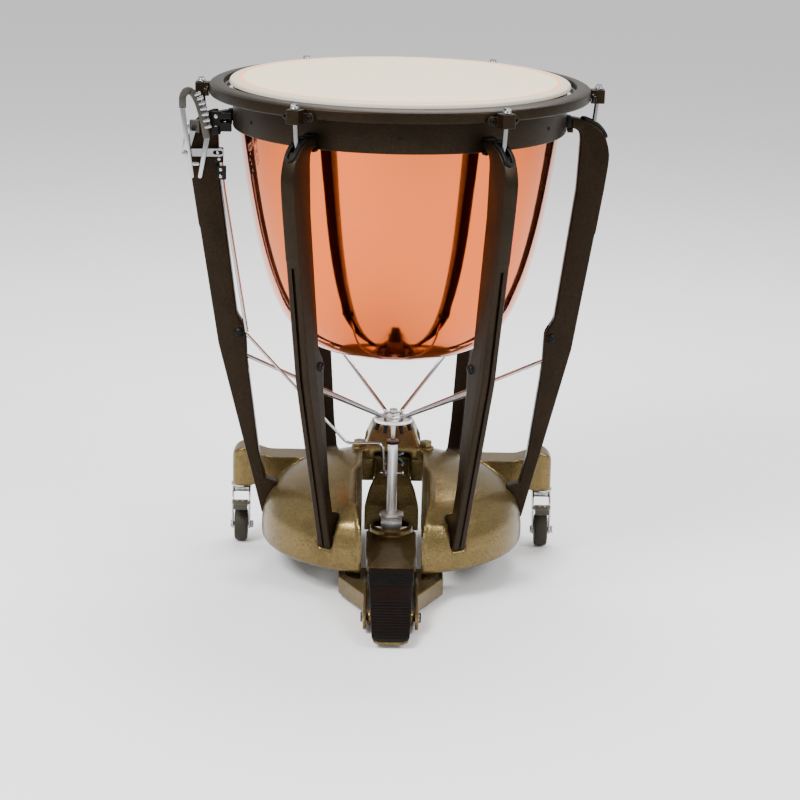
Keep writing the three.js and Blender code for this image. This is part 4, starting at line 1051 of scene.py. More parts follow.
@dataclass
class Struts:
    """Six hollow struts, each with a bell crank, a tension rod, a hoop lug and a spider rod."""

    bench: Bench
    half: float = 13.5
    channel: float = 14.6
    step_z: float = HEAD_Z - 263
    recess: float = 2.5
    groove_w: float = 6.0
    groove_deep: float = 4.0
    crank_out: float = 22.0
    crank_down: float = 40.1
    ear_out: float = 22.5
    rest: float = -1.0 * DEGREE
    lug_r: float = HEAD_R + 53
    lug_z: float = HEAD_Z - 24
    tip_r: float = RING_R + 8.5

    def __post_init__(self) -> None:
        """Works out where the crank's arms end."""
        cos, sin = math.cos(self.rest), math.sin(self.rest)
        self.nose = (PIVOT_R + self.crank_out * cos, PIVOT_Z + self.crank_out * sin)
        self.eye = (PIVOT_R + self.crank_down * sin, PIVOT_Z - self.crank_down * cos)
        self.shoulder = (HEAD_R + 70, HEAD_Z - 188)
        self.elbow = (PIVOT_R + 40, PIVOT_Z - 21)
        self.back = (BASE_R + 2, 93.0)

    def rod_r(self, z: float) -> float:
        """The tension rod's radius from the axis at a height."""
        t = (z - self.nose[1]) / (self.lug_z - self.nose[1])
        return self.nose[0] + (self.lug_r - self.nose[0]) * t

    def outer_r(self, z: float) -> float:
        """The outer face's radius at a height below the shoulder."""
        high, low = (self.shoulder, self.elbow) if z > self.elbow[1] else (self.elbow, self.back)
        return low[0] + (high[0] - low[0]) * (z - low[1]) / (high[1] - low[1])

    def gooseneck(self) -> list[tuple[float, float]]:
        """The strut's top line, from its tip at the ring out and down to the shoulder."""
        drops = [(28, 64), (43, 69), (56, 77), (66, 88), (73, 105), (77, 126), (75.5, 146)]
        return [(HEAD_R + out, HEAD_Z - down) for out, down in drops]

    def outline(self) -> list[tuple[float, float]]:
        """The strut seen from the side, as radius and height."""
        step_r = self.outer_r(self.step_z)
        toe = (BASE_R - 29.2, 152.0)
        neck = [(r, z, 60) for r, z in self.gooseneck()]
        throat = [(20.5, 188), (23, 137), (24.4, 103), (23.6, 90), (19, 82)]
        inside = [(HEAD_R + out, HEAD_Z - down, 60) for out, down in throat]
        points = [(self.tip_r, HEAD_Z - 60.5, 3), *neck, (*self.shoulder, 90), (step_r, self.step_z, 8)]
        points += [(step_r - self.recess, self.step_z - 7, 8)]
        points += [(self.elbow[0] - self.recess, self.elbow[1], 60)]
        points += [(self.back[0] - self.recess, self.back[1], 6), (BASE_R - 8, 97, 4), (*toe, 4)]
        points += [(toe[0] + 23, toe[1] + 8, 6), (toe[0] + 35, toe[1] + 59, 60)]
        points += [(PIVOT_R - 14, PIVOT_Z - 48, 60), (PIVOT_R - 12, PIVOT_Z + 8, 30)]
        points += [(PIVOT_R + 4, PIVOT_Z + 33, 30), *inside]
        points += [(self.tip_r, HEAD_Z - 78.5, 3)]
        return filleted(points, 5, 6)

    def channel_outline(self) -> list[tuple[float, float]]:
        """The hollow that the rod and the crank run in."""
        top, bend, knee, nut = HEAD_Z - 40, HEAD_Z - 90, PIVOT_Z + 22, PIVOT_Z - 32
        points = [(self.rod_r(top) - 16, top), (self.rod_r(bend) - 12, bend)]
        points += [(self.rod_r(knee) - 10, knee + 30), (self.rod_r(knee) - 12, knee)]
        points += [ (PIVOT_R - 40, knee - 6), (PIVOT_R - 40, PIVOT_Z - 70)]
        points += [(PIVOT_R - 4, PIVOT_Z - 70), (PIVOT_R + 18.5, self.eye[1]), (self.rod_r(nut) + 9.5, nut)]
        points += [(self.rod_r(PIVOT_Z) + 9, PIVOT_Z), (self.rod_r(knee) + 9, knee + 30)]
        points += [(self.rod_r(bend) + 14, bend), (self.rod_r(top) + 11, top)]
        return filleted(points, 4, 4)

    def groove_outline(self) -> list[tuple[float, float]]:
        """The groove down the outer face, from under the step to the foot."""
        top = self.step_z - 14
        deep = self.recess + self.groove_deep
        elbow_z, foot = self.elbow[1], self.back[1] - 6
        points = [(self.outer_r(top) - deep, top), (self.outer_r(top) + 9, top), (self.elbow[0] + 9, elbow_z)]
        points += [(self.back[0] + 9, foot), (self.back[0] - deep, foot), (self.elbow[0] - deep, elbow_z)]
        return points

    def strut(self) -> bpy.types.Object:
        """One strut with rounded edges, its hollow and its groove."""
        piece = made("strut", prism(self.outline(), -self.half, self.half, Plane.FRONT))
        bevelled(piece, 3.2, 4, 50)
        hollow = prism(self.channel_outline(), -self.channel / 2, self.channel / 2, Plane.FRONT)
        wide = self.groove_w / 2
        groove = prism(self.groove_outline(), -wide, wide, Plane.FRONT)
        cut(piece, hollow, groove, bar((PIVOT_R, -20, PIVOT_Z), (PIVOT_R, 20, PIVOT_Z), 4.5))
        smooth(piece.data, 32)
        return piece

    def grommet(self) -> bpy.types.Object:
        """The rubber oblong round the slot that the rod comes out of."""
        neck = [(r, z, 60) for r, z in self.gooseneck()]
        line = filleted([(self.tip_r, HEAD_Z - 61, 0), *neck, (HEAD_R + 74, HEAD_Z - 170, 0)], 60, 8)
        walk = [Vector((r, 0, z)) for r, z in line]
        lengths = [0.0]
        for a, b in zip(walk, walk[1:]):
            lengths.append(lengths[-1] + (b - a).length)

        def at(distance: float) -> tuple[Vector, Vector]:
            """The point and the outward direction that far along the top line."""
            k = max(i for i, length in enumerate(lengths[:-1]) if length <= distance)
            run = (walk[k + 1] - walk[k]).normalized()
            spot = walk[k] + run * (distance - lengths[k])
            return spot, Vector((-run.z, 0, run.x))

        start, end, wide = 27.0, 66.0, 7.3
        path = []
        for middle_at, first in ((start, math.pi / 2), (end, -math.pi / 2)):
            for k in range(25):
                angle = first + math.pi * k / 24
                path.append((middle_at + wide * math.cos(angle), wide * math.sin(angle)))
        full = []
        for one, two in zip(path, path[1:] + path[:1]):
            steps = max(1, round(abs(two[0] - one[0]) / 3))
            run, side = two[0] - one[0], two[1] - one[1]
            full += [(one[0] + run * s / steps, one[1] + side * s / steps) for s in range(steps)]
        points = []
        for distance, side in full:
            spot, up = at(distance)
            points.append(spot + up * 1.6 + Vector((0, side, 0)))
        return made("grommet", tube(points, 3.6, 12, True))

    def isolator(self) -> bpy.types.Object:
        """The rubber block between the strut's tip and the ring, with its bolt heads."""
        low, high = HEAD_Z - 81, HEAD_Z - 58
        near, far, rest_z = RING_R + 0.5, self.tip_r + 1, HEAD_Z - 83.5
        corners = [(near, low), (far, low + 2), (far, high - 2), (near, high)]
        body = prism(filleted(corners, 2), -12, 12, Plane.FRONT)
        rest = [bar((RING_R + 2, y, rest_z), (RING_R + 12, y, rest_z), 4.2, 20) for y in (-9.5, 9.5)]
        return bevelled(made("isolator", together([body, *rest])), 0.8, 2)

    def crank(self) -> bpy.types.Object:
        """The bell crank: two cheeks, their pins and the domed heads of the pivot bolt."""
        inner, outer = 4.5, 6.7
        hub = (PIVOT_R, PIVOT_Z)
        forms = []
        for y0, y1 in ((-outer, -inner), (inner, outer)):
            forms += [capsule(hub, self.nose, 9, 6, y0, y1), capsule(hub, self.eye, 9, 7.5, y0, y1)]
        face = self.half + 0.4
        forms.append(bar((PIVOT_R, -outer, PIVOT_Z), (PIVOT_R, outer, PIVOT_Z), 7))
        forms.append(bar((PIVOT_R, -face - 1, PIVOT_Z), (PIVOT_R, face + 1, PIVOT_Z), 4))
        forms.append(bar((self.eye[0], -outer, self.eye[1]), (self.eye[0], outer, self.eye[1]), 3))
        socket = [(0, 4.2), (2.5, 4.2), (3, 2.4), (4.2, 2.4)]
        dome = turned([*socket, (4.6, 4), (6.6, 3.1), (8, 1.6), (8.5, 0), (0, 0)], 36)
        for way in (-1, 1):
            forms.append(aimed(dome, (PIVOT_R, way * face, PIVOT_Z), (PIVOT_R, way * (face + 4), PIVOT_Z)))
        return made("crank", together(forms), 30)

    def rod(self) -> bpy.types.Object:
        """The tension rod: a plated shank with a washer and a square head, and a nut at its foot."""
        slope = (self.lug_r - self.nose[0]) / (self.lug_z - self.nose[1])
        low = self.nose[1] - 6 - 2.4
        seat = self.lug_z + 12 + 7.5 * slope + 0.4

        def lean(z: float) -> tuple[float, float, float]:
            """The rod's middle at a height."""
            return (self.rod_r(z), 0, z)

        collar = turned(filleted([(0, 0, 0), (6.5, 0), (6, 2.6), (0, 2.6, 0)], 0.8), 32)
        forms = [
            bar(lean(low - 12), lean(seat + 3), 4, 24),
            hexagon(lean(low - 10), lean(low), 11.6),
            bar(lean(seat), lean(seat + 2.2), 7.5, 32),
            aimed(collar, lean(seat + 2), lean(seat + 5)),
        ]
        square = prism(filleted([(-4.7, -4.7), (4.7, -4.7), (4.7, 4.7), (-4.7, 4.7)], 1), 0, 4.2, Plane.PLAN)
        forms.append(aimed(square, lean(seat + 3.4), lean(seat + 7)))
        return made("rod", together(forms), 30)

    def lug(self) -> bpy.types.Object:
        """The cast block on the hoop with an ear at each side."""
        half, back, z = 12.0, HOOP_R + 0.4, self.lug_z
        front, sides = self.lug_r + half, (-self.ear_out, self.ear_out)
        corners = [(back, -half, 1), (front, -half, 4), (front, half, 4), (back, half, 1)]
        body = prism(filleted(corners, 3), z - half, z + half, Plane.PLAN)
        ears = [bar((back, y, z - 1), (back + 5, y, z - 1), 8, 32, 1.2) for y in sides]
        webs = [block(back, back + 4.6, *sorted((0, y)), z - 8, z + 6) for y in sides]
        piece = cast("lug", [body, *ears, *webs], (), 0.9, 7)
        return cut(piece, bar((self.rod_r(z - 20), 0, z - 20), (self.rod_r(z + 20), 0, z + 20), 4.5))

    def lug_screws(self) -> bpy.types.Object:
        """The socket screws through the lug's ears."""
        back = HOOP_R + 5.4
        head = turned([(0, 0.4), (2, 0.4), (2.2, 3.3), (3.6, 3.5), (4.5, 2.8), (4.5, 0), (0, 0)], 24)
        spots = [(back, y, self.lug_z - 1) for y in (-self.ear_out, self.ear_out)]
        return made("lug_screws", together(aimed(head, p, (p[0] + 1, p[1], p[2])) for p in spots), 30)

    def link(self) -> bpy.types.Object:
        """The spider rod: hooked through the spider, bent outwards, with a flat eye on the crank's pin."""
        hook_r, under = 27.0, SPIDER_Z - 3
        over = SPIDER_Z + 9.5
        slope = (self.eye[1] - SPIDER_Z) / (self.eye[0] - hook_r)
        rise = (hook_r + (over - SPIDER_Z) / slope / 3, over)
        short = (self.eye[0] + (rise[0] - self.eye[0]) * 0.03, self.eye[1] + (rise[1] - self.eye[1]) * 0.03)
        path = bends([(hook_r, 0, under - 8), (hook_r, 0, over - 1), (short[0], 0, short[1])], 7)
        eye = capsule(short, self.eye, 4.5, 7.6, -3.7, 3.7)
        piece = made("link", together([tube(path, 3.5, 18), eye]), 30)
        return cut(piece, bar((self.eye[0], -9, self.eye[1]), (self.eye[0], 9, self.eye[1]), 4.6))

    def stub(self) -> bpy.types.Object:
        """The rubber sleeve under the spider, splayed outwards."""
        top = SPIDER_Z - 4.2
        path = bends([(26.6, 0, top), (27.6, 0, top - 7), (31, 0, top - 16)], 4)
        radii = [4.7 - 0.9 * i / len(path) for i in range(len(path))]
        return made("stub", tube(path, radii, 18), 50)

    def build(self) -> None:
        """Makes each pattern once and sets a copy at every strut."""
        patterns = {
            "strut": (self.strut(), "strut_", BRONZE, True),
            "grommet": (self.grommet(), "strut_", BLACK, False),
            "isolator": (self.isolator(), "strut_", BLACK, False),
            "crank": (self.crank(), "bell_crank_", JET, True),
            "rod": (self.rod(), "tension_rod_", CHROME, True),
            "lug": (self.lug(), "hoop_lug_", BRONZE, True),
            "lug_screws": (self.lug_screws(), "hoop_lug_", JET, False),
            "link": (self.link(), "spider_rod_", CHROME, True),
            "stub": (self.stub(), "spider_rod_", BLACK, False),
        }
        for label, (pattern, prefix, finish, stands_in) in patterns.items():
            for index, side in enumerate(SIDES):
                piece = copied(pattern, f"{label}_at_{side}", facing(index))
                self.bench.fit(piece, prefix + side, finish, stands_in)
            discard(pattern)


# ------------------------------------------------------------------ spider and pull rod


@dataclass
class PullRod:
    """The spider plate, the pull rod under it and the nut that sits in the pedal's cup."""

    bench: Bench
    plate_r: float = 35.0
    bore_r: float = 4.65
    hook_r: float = 27.0
    hole_r: float = 6.0
    sleeve_r: float = 9.2
    sleeve_top: float = 226.0
    pin_z: float = 170.0
    nut_af: float = 38.0
    nut_low: float = 56.0
    nut_top: float = 95.0
    nut_pin: float = 36.0

    def build(self) -> None:
        """Builds the plate, the rod and the nut."""
        top, under = SPIDER_Z + 3, SPIDER_Z - 3
        bore, out = self.bore_r, self.plate_r
        profile = filleted([(bore, under), (out, under), (out, top), (bore, top)], 1.1, 4)
        disc = made("spider_disc", ringed(profile))
        for k in range(6):
            spot = Vector((self.hook_r, 0, 0))
            spot.rotate(Matrix.Rotation(60 * k * DEGREE, 3, "Z"))
            cut(disc, bar((spot.x, spot.y, under - 2), (spot.x, spot.y, top + 2), self.hole_r, 32, 0))
        smooth(disc.data, 35)
        self.bench.fit(disc, "spider_plate", TURNED)
        fit = self.bench.fit
        high = self.sleeve_top
        sleeve = post(self.nut_top - 10, high, self.sleeve_r, 64, 1)
        fit(made("pull_sleeve", sleeve), "pull_rod", TURNED)
        fit(made("pull_collar", post(high, high + 5, 11.6, 48, 1.2)), "pull_rod", BLACK, False)
        fit(made("pull_washer", post(high + 5, high + 7, 11, 48, 0.5)), "pull_rod", WASHER, False)
        shank = post(high + 6, top + 2, 4.25)
        hub = hexagon((0, 0, top + 0.4), (0, 0, top + 10), 22, 1.4)
        stem = post(top + 9, top + 16, 7.5, 32, 1.2)
        fit(made("pull_shank", shank + hub + stem), "pull_rod", CHROME, False)
        reach = self.sleeve_r + 12
        pin = bar((-reach, 0, self.pin_z), (reach - 2, 0, self.pin_z), 2.5, 24)
        head = bar((reach - 3, 0, self.pin_z), (reach, 0, self.pin_z), 5.5, 28, 1)
        fit(made("pull_pin", pin + head), "pull_rod", CHROME, False)
        self.nut()

    def nut(self) -> None:
        """The flanged nut with its round belly and the pin through it."""
        half, belly = self.nut_af / 2, self.nut_low + 14
        low = self.nut_low
        rim = post(self.nut_top - 5, self.nut_top, half + 3, 64, 1.2)
        curve = [(0, low, 0), (half * 0.45, low + 1, 20), (half * 0.8, low + 5, 12)]
        curve += [(half, belly, 3), (half, belly + 1, 0), (0, belly + 1, 0)]
        bulge = turned(filleted(curve), 64)
        flats = hexagon((0, 0, belly), (0, 0, self.nut_top - 4.5), self.nut_af, 2)
        pin = bar((-self.nut_pin, 0, belly - 6), (self.nut_pin, 0, belly - 6), 4, 32, 1)
        piece = made("cup_nut", rim)
        for form in (flats, bulge, pin):
            combined(piece, form, "UNION")
        cut(piece, post(self.nut_top - 10.4, self.nut_top + 4, self.sleeve_r + 0.4, 48, 0))
        smooth(piece.data, 30)
        self.bench.fit(piece, "pull_nut", TURNED)


# ------------------------------------------------------------------ base


@dataclass
class Base:
    """The domed casting with its slot, rear crossbar and spring roof."""

    bench: Bench
    rim_z: float = 54.0
    wall: float = 8.0
    toe_in: float = 29.6
    toe_z: float = 152.0
    heel_in: float = 8.4
    heel_z: float = 97.0
    seat_half: float = 13.9
    slot_back: float = 14.0
    slot_half: float = 54.0
    slot_wide: float = 66.0
    mouth: float = 49.0
    bead: float = 5.0
    bead_rise: float = 3.0
    reach: float = 297.0
    bar_y: float = 135.0
    bar_half: float = 30.0
    bar_low: float = 107.0
    bar_top: float = 183.0
    bar_sag: float = 165.0
    hump_top: float = 244.0
    hump_back: float = 126.0
    bolt_x: float = 60.0
    bolt_y: float = 30.0
    caster_x: float = 280.0
    grain: float = 3.0

    def dome(self, wall: float, under: float) -> Form:
        """The dome, shrunk by a wall thickness; a thickness below nothing grows it."""
        top, out = BASE_TOP - wall, BASE_R - wall
        profile = [
            (0, under, 0),
            (out - 4, under, 3),
            (out, under + 8, 8),
            *self.skirt(wall),
            (out - self.toe_in, self.toe_z - wall / 3, 14),
            (out - 46, top - 50, 60),
            (out - 76, top - 37, 90),
            (out - 116, top - 23, 120),
            (out - 160, top - 9, 200),
            (0, top, 0),
        ]
        return turned(filleted(profile))

    def skirt(self, wall: float) -> list[Flat]:
        """The dome's side, from its rim up to the struts' toes: bulged outside, straight inside."""
        z, out = self.rim_z, BASE_R - wall
        if wall > 0:
            return [(out - 4, z + 24 - wall / 2, 60), (out - self.heel_in, self.heel_z - wall / 3, 60)]
        return [(out, z + 36, 60), (out - 4, z + 60, 40), (out - 14, z + 84, 30)]

    def foot_seat(self, index: int) -> Form:
        """What the skirt loses under one strut, so that the foot sits on a flat."""
        toe, heel = (BASE_R - self.toe_in, self.toe_z), (BASE_R - self.heel_in, self.heel_z)
        under, out = self.heel_z - 5.5, BASE_R + 30
        points = [heel, (heel[0], under), (out, under), (out, toe[1] + 9), (toe[0] + 8, toe[1] + 9), toe]
        return prism(points, -self.seat_half, self.seat_half, Plane.FRONT).placed(facing(index))

    def slot(self, grow: float, low: float, high: float) -> Form:
        """The slot for the pedal, grown outwards."""
        narrow, wide, mouth = self.slot_half + grow, self.slot_wide + grow, self.mouth + grow
        right = [(narrow, self.slot_back + grow, 16), (narrow, -60, 20), (wide, -82, 20), (wide, -170, 40)]
        right += [(mouth, -240, 40), (mouth, -BASE_R - 40, 0)]
        return prism(filleted(mirrored(right)), low, high, Plane.PLAN)

    def crossbar(self) -> Form:
        """The rear crossbar, which ends in a rounded boss over each caster."""
        end, low, top = self.reach, self.bar_low, self.bar_top
        half = [(end - 70, low + 16, 40), (end - 34, low, 30), (end, low, 3), (end, top - 13, 14)]
        half += [(end - 16, top, 16), (end - 40, top - 9, 40), (end - 70, self.bar_sag, 60)]
        outline = filleted(mirrored(half))
        near, far = self.bar_y - self.bar_half, self.bar_y + self.bar_half
        beam = prism(outline, near, far, Plane.FRONT)
        square = [(-end, near), (end, near), (end, far), (-end, far)]
        return shared(beam, prism(filleted(square, 20), low - 1, top + 1, Plane.PLAN))

    def hump(self) -> Form:
        """The roof over the spring, which slopes forwards to the slot's back edge."""
        low, top, near, far = BASE_TOP - 30, self.hump_top, self.slot_back, self.hump_back
        half = [(54, low, 0), (51, BASE_TOP - 4, 14), (36, top, 10)]
        across = prism(filleted(mirrored(half)), near, far, Plane.FRONT)
        along = [(near, low, 0), (far, low, 0), (far, top, 10), (60, top, 16), (near, BASE_TOP - 1, 0)]
        return shared(across, prism(filleted(along), -70, 70, Plane.SIDE))

    def spring_well(self) -> Form:
        """The hollow inside the roof."""
        half = [(60, BASE_TOP - 30), (58, BASE_TOP - 4), (30, self.hump_top - self.wall)]
        return prism(mirrored(half), 64, self.hump_back - self.wall, Plane.FRONT)

    def build(self) -> None:
        """Casts the base and sets its bolts."""
        seats = [self.foot_seat(index) for index in range(6)]
        outside, inside = self.dome(0, self.rim_z), self.dome(self.wall, self.rim_z - 20)
        shell = form_of(cut(made("shell", outside), inside, *seats))
        low = self.rim_z + 10
        walls = shared(self.slot(self.wall, low, BASE_TOP + 20), self.dome(0, self.rim_z))
        raised = self.dome(-self.bead_rise, self.rim_z + 12)
        bead = shared(self.slot(self.bead, low + 10, BASE_TOP + 20), raised)
        stems = [
            bar((x, self.bar_y, self.bar_low - 3), (x, self.bar_y, self.bar_low + 32), 6.6)
            for x in (-self.caster_x, self.caster_x)
        ]
        cuts = [
            self.slot(0, -20, BASE_TOP + 80),
            block(-self.slot_half, self.slot_half, 0, 300, -20, 104),
            block(-self.slot_half, self.slot_half, 0, 64, -20, BASE_TOP - 23),
            block(-34, 34, self.slot_back - 2, 124, -20, 204),
            block(-80, 80, 60, BASE_R + 20, -20, self.rim_z + 50),
            self.spring_well(),
            *stems,
        ]
        solids = [shell, walls, bead, self.crossbar(), self.hump()]
        piece = cast("base_dome", solids, cuts, self.grain, 4)
        self.bench.fit(piece, "base_casting", GOLD)
        heads = []
        for x in (-self.bolt_x, self.bolt_x):
            heads.append(post(BASE_TOP - 9, BASE_TOP - 2.5, 15, 40, 1.4).moved(x, self.bolt_y))
            heads.append(hexagon((x, self.bolt_y, BASE_TOP - 3), (x, self.bolt_y, BASE_TOP + 8), 21, 1.6))
        self.bench.fit(made("base_bolts", together(heads)), "base_casting", GOLD, False)
        self.bench.dress("balance_spring", ZINC)


# ------------------------------------------------------------------ pedal


@dataclass
class Pedal:
    """The pedal casting on its frame, with its rubber pad and feet."""

    bench: Bench
    axle_y: float = -355.0
    axle_z: float = 22.0
    rail_in: float = 41.0
    rail_t: float = 6.0
    toe_y: float = -452.0
    tread_top_y: float = -240.0
    slope: float = 15.6 * DEGREE
    tread_z: float = 10.0
    wing_x: float = 92.0
    wing_back: float = -150.0
    cup_r: float = 44.0
    cup_bore: float = 30.5
    cup_top: float = 73.0
    cup_low: float = 38.0
    ring_r: float = 39.0
    shoulder: float = 46.0
    wing_top: float = 40.0
    tower_y: float = 52.0
    tower_top: float = 178.0
    tail_y: float = 92.0
    tail_z: float = 92.0

    def build(self) -> None:
        """Builds the frame, the casting and the pad."""
        self.frame()
        self.casting()
        self.pad()

    def frame(self) -> None:
        """The frame that the pedal rocks in, its axle and its feet."""
        y, z = self.axle_y, self.axle_z
        rail = [(y - 30, z - 8, 5), (y - 24, z - 15, 5), (y + 20, z - 17, 5), (self.wing_back, 8, 2)]
        rail += [(self.wing_back, self.wing_top, 5), (-200, self.wing_top, 30), (-240, 44, 30)]
        rail += [(y + 24, z + 16, 20), (y - 18, z + 12, 9), (y - 28, z + 4, 6)]
        inner, back = self.rail_in, self.wing_back
        wing = [(inner + 1, back, 0), (self.wing_x, back, 9), (self.wing_x, -200, 14), (inner + 4, y + 58, 8)]
        wing += [(inner + 1, y + 58, 0)]
        pocket = [(54, back - 7, 5), (82, back - 7, 5), (82, -188, 6), (54, -226, 6)]
        solids, cuts = [], [bar((-60, y, z), (60, y, z), 5.5, 32, 0)]
        for way in (-1, 1):
            low, high = sorted((way * inner, way * (inner + self.rail_t)))
            solids.append(prism(filleted(rail), low, high, Plane.SIDE))
            flank, hole = ([(way * a, b, r) for a, b, r in shape] for shape in (wing, pocket))
            solids.append(prism(filleted(flank), 8.4, self.wing_top, Plane.PLAN))
            cuts.append(prism(filleted(hole), 22, 60, Plane.PLAN))
        solids.append(block(-inner - 1, inner + 1, y + 26, y + 56, 5, 8.4))
        self.bench.fit(cast("pedal_rails", solids, cuts, 1.6, 4), "pedal_frame", GOLD)
        face = inner + self.rail_t + 0.4
        shaft, caps, washers = bar((-face, y, z), (face, y, z), 5), [], []
        for way in (-1, 1):
            washers.append(bar((way * face, y, z), (way * (face + 1.2), y, z), 10, 40, 0.3))
            caps.append(bar((way * (face + 1), y, z), (way * (face + 4), y, z), 8.4, 40, 1.6))
        self.bench.fit(made("axle_caps", together([shaft, *caps])), "pedal_axle", JET)
        self.bench.fit(made("axle_washers", together(washers)), "pedal_axle", CHROME, False)
        for way, name in ((-1, "front_foot_left"), (1, "front_foot_right")):
            at = (way * 70, -184)
            foot = turned(filleted([(0, 0, 0), (17, 0, 1.5), (15.5, 8, 1.2), (0, 8, 0)]), 48).moved(*at)
            self.bench.fit(made(name + "_pad", foot), name, BLACK)

    def outline(self, over: float) -> list[tuple[float, float]]:
        """The foot plate from above, before it is tilted."""
        length = (self.tread_top_y - self.toe_y) / math.cos(self.slope)
        front, back = 30 + over, 38 + over
        right = [(front, 1, 11), (back, length, 12)]
        return filleted(mirrored(right))

    def tilted(self, form: Form) -> Form:
        """A form drawn flat on the foot plate, in its place."""
        tilt = Matrix.Rotation(self.slope, 4, "X")
        return form.placed(Matrix.Translation((0, self.toe_y, self.tread_z)) @ tilt)

    def tower(self) -> Form:
        """The curved plate behind the cup, which narrows to its top."""
        foot = self.cup_top - 24
        half = [(50, foot, 0), (50, foot + 40, 30), (42, foot + 74, 40)]
        half += [(30, foot + 103, 60), (15, foot + 127, 60), (8, self.tower_top, 3)]
        face = prism(filleted(mirrored(half)), 0, self.tail_y + 20, Plane.FRONT)
        y, top, cup = self.tower_y, self.tower_top, self.cup_r
        curve = [(cup - 8, foot, 0), (cup + 8, foot, 0), (y + 8, foot + 40, 40), (y + 6, foot + 100, 80)]
        curve += [(y - 8, top, 3), (y - 18, top, 3), (y - 5, foot + 100, 80), (y - 6, foot + 40, 40)]
        return shared(face, prism(filleted(curve), -51, 51, Plane.SIDE))

    def shoulders(self, crest: Sequence[Flat]) -> Form:
        """The casting's broad top, from the foot plate back to the cup."""
        back, half, top = self.tread_top_y, self.shoulder, self.cup_top - 14
        along = [(back - 12, 59, 0), (-152, 54, 30), (-140, 42, 10), (0, self.cup_low, 0)]
        along += [(0, top, 0), *crest]
        plan = [(half - 10, back - 12, 6), (half - 2, back + 20, 30), (half, -100, 60), (half, 0, 0)]
        outline = filleted(mirrored(plan))
        return shared(prism(outline, 30, 90, Plane.PLAN), prism(filleted(along), -half, half, Plane.SIDE))

    def panel(self) -> Form:
        """The dished panel between the foot plate and the cup."""
        near, far = self.tread_top_y + 6, -self.ring_r - 9
        path = [(0, near, 79), (0, (near + far) / 2 - 10, 71), (0, far, 79)]
        scoop = tube(bends(path, 60, 10), 30, 40)
        squeeze = Matrix.Translation((0, 0, 72)) @ Matrix.Diagonal(
            (1.2, 1, 0.5, 1)
        ) @ Matrix.Translation((0, 0, -72))
        return scoop.placed(squeeze)

    def casting(self) -> None:
        """The long casting: foot plate, beam, cup, tower and tail."""
        y, z, low, top = self.axle_y, self.axle_z, self.cup_low, self.cup_top
        near = -self.cup_r + 6
        back = self.tread_top_y
        crest = [(-150, 60, 80), (-200, 66, 60), (back, 70.5, 7)]
        beam = [(y - 6, z - 12, 4), (y + 16, z - 8, 20), (-200, 26, 60), (near, low, 0), (near, top - 14, 0)]
        spine = prism(filleted([*beam, *crest, (back - 10, 58, 4), (y, z + 9, 10)]), -31, 31, Plane.SIDE)
        rim = top - 14
        cup = [(0, low, 0), (self.cup_r, low, 3), (self.cup_r, rim, 3), (0, rim, 0)]
        ring = [(0, low, 0), (self.ring_r + 1, low, 3), (self.ring_r, top, 4), (0, top, 0)]
        spring_seat = post(self.tail_z - 12, self.tail_z - 6, 26, 48, 1).moved(0, self.tail_y)
        solids = [
            spine,
            bar((-39.5, y, z), (39.5, y, z), 14, 48, 1.5),
            self.shoulders(crest),
            turned(filleted(cup), 96),
            turned(filleted(ring), 96),
            self.tower(),
            block(-20, 20, self.cup_r - 10, self.tail_y + 4, low + 8, low + 16),
            block(-20, 20, self.tail_y - 24, self.tail_y + 4, low + 8, self.tail_z - 8),
            spring_seat,
            self.tilted(prism(self.outline(0), -3, 3, Plane.PLAN)),
        ]
        reach = self.ring_r - 1.6
        cuts = [
            bar((0, 0, 45), (0, 0, top + 30), self.cup_bore + 1, 64, 0),
            *(bar((-reach, shift, 64), (reach, shift, 64), 5.8, 32, 0) for shift in (-4, 0, 4)),
            bar((-41, y, z), (41, y, z), 5.6, 32, 0),
            self.panel(),
        ]
        self.bench.fit(cast("pedal_lever", solids, cuts, 1.9, 4), "pedal_casting", GOLD)

    def pad(self) -> None:
        """The rubber pad: a slab with a rounded edge and two banks of ribs."""
        slab = made("pad_slab", self.tilted(prism(self.outline(1.5), 3.5, 9.0, Plane.PLAN)))
        bevelled(slab, 1.8, 3)
        back = self.tread_top_y - 14
        cut(slab, prism([(back, 38), (0, 38), (0, 99), (back, 99)], -90, 90, Plane.SIDE))
        smooth(slab.data, 32)
        self.bench.fit(slab, "pedal_pad", BLACK)
        self.ribs("pad_ribs_front", 13, 8.0, 8.4)
        self.ribs("pad_ribs_back", 8, 158.0, 5.0)

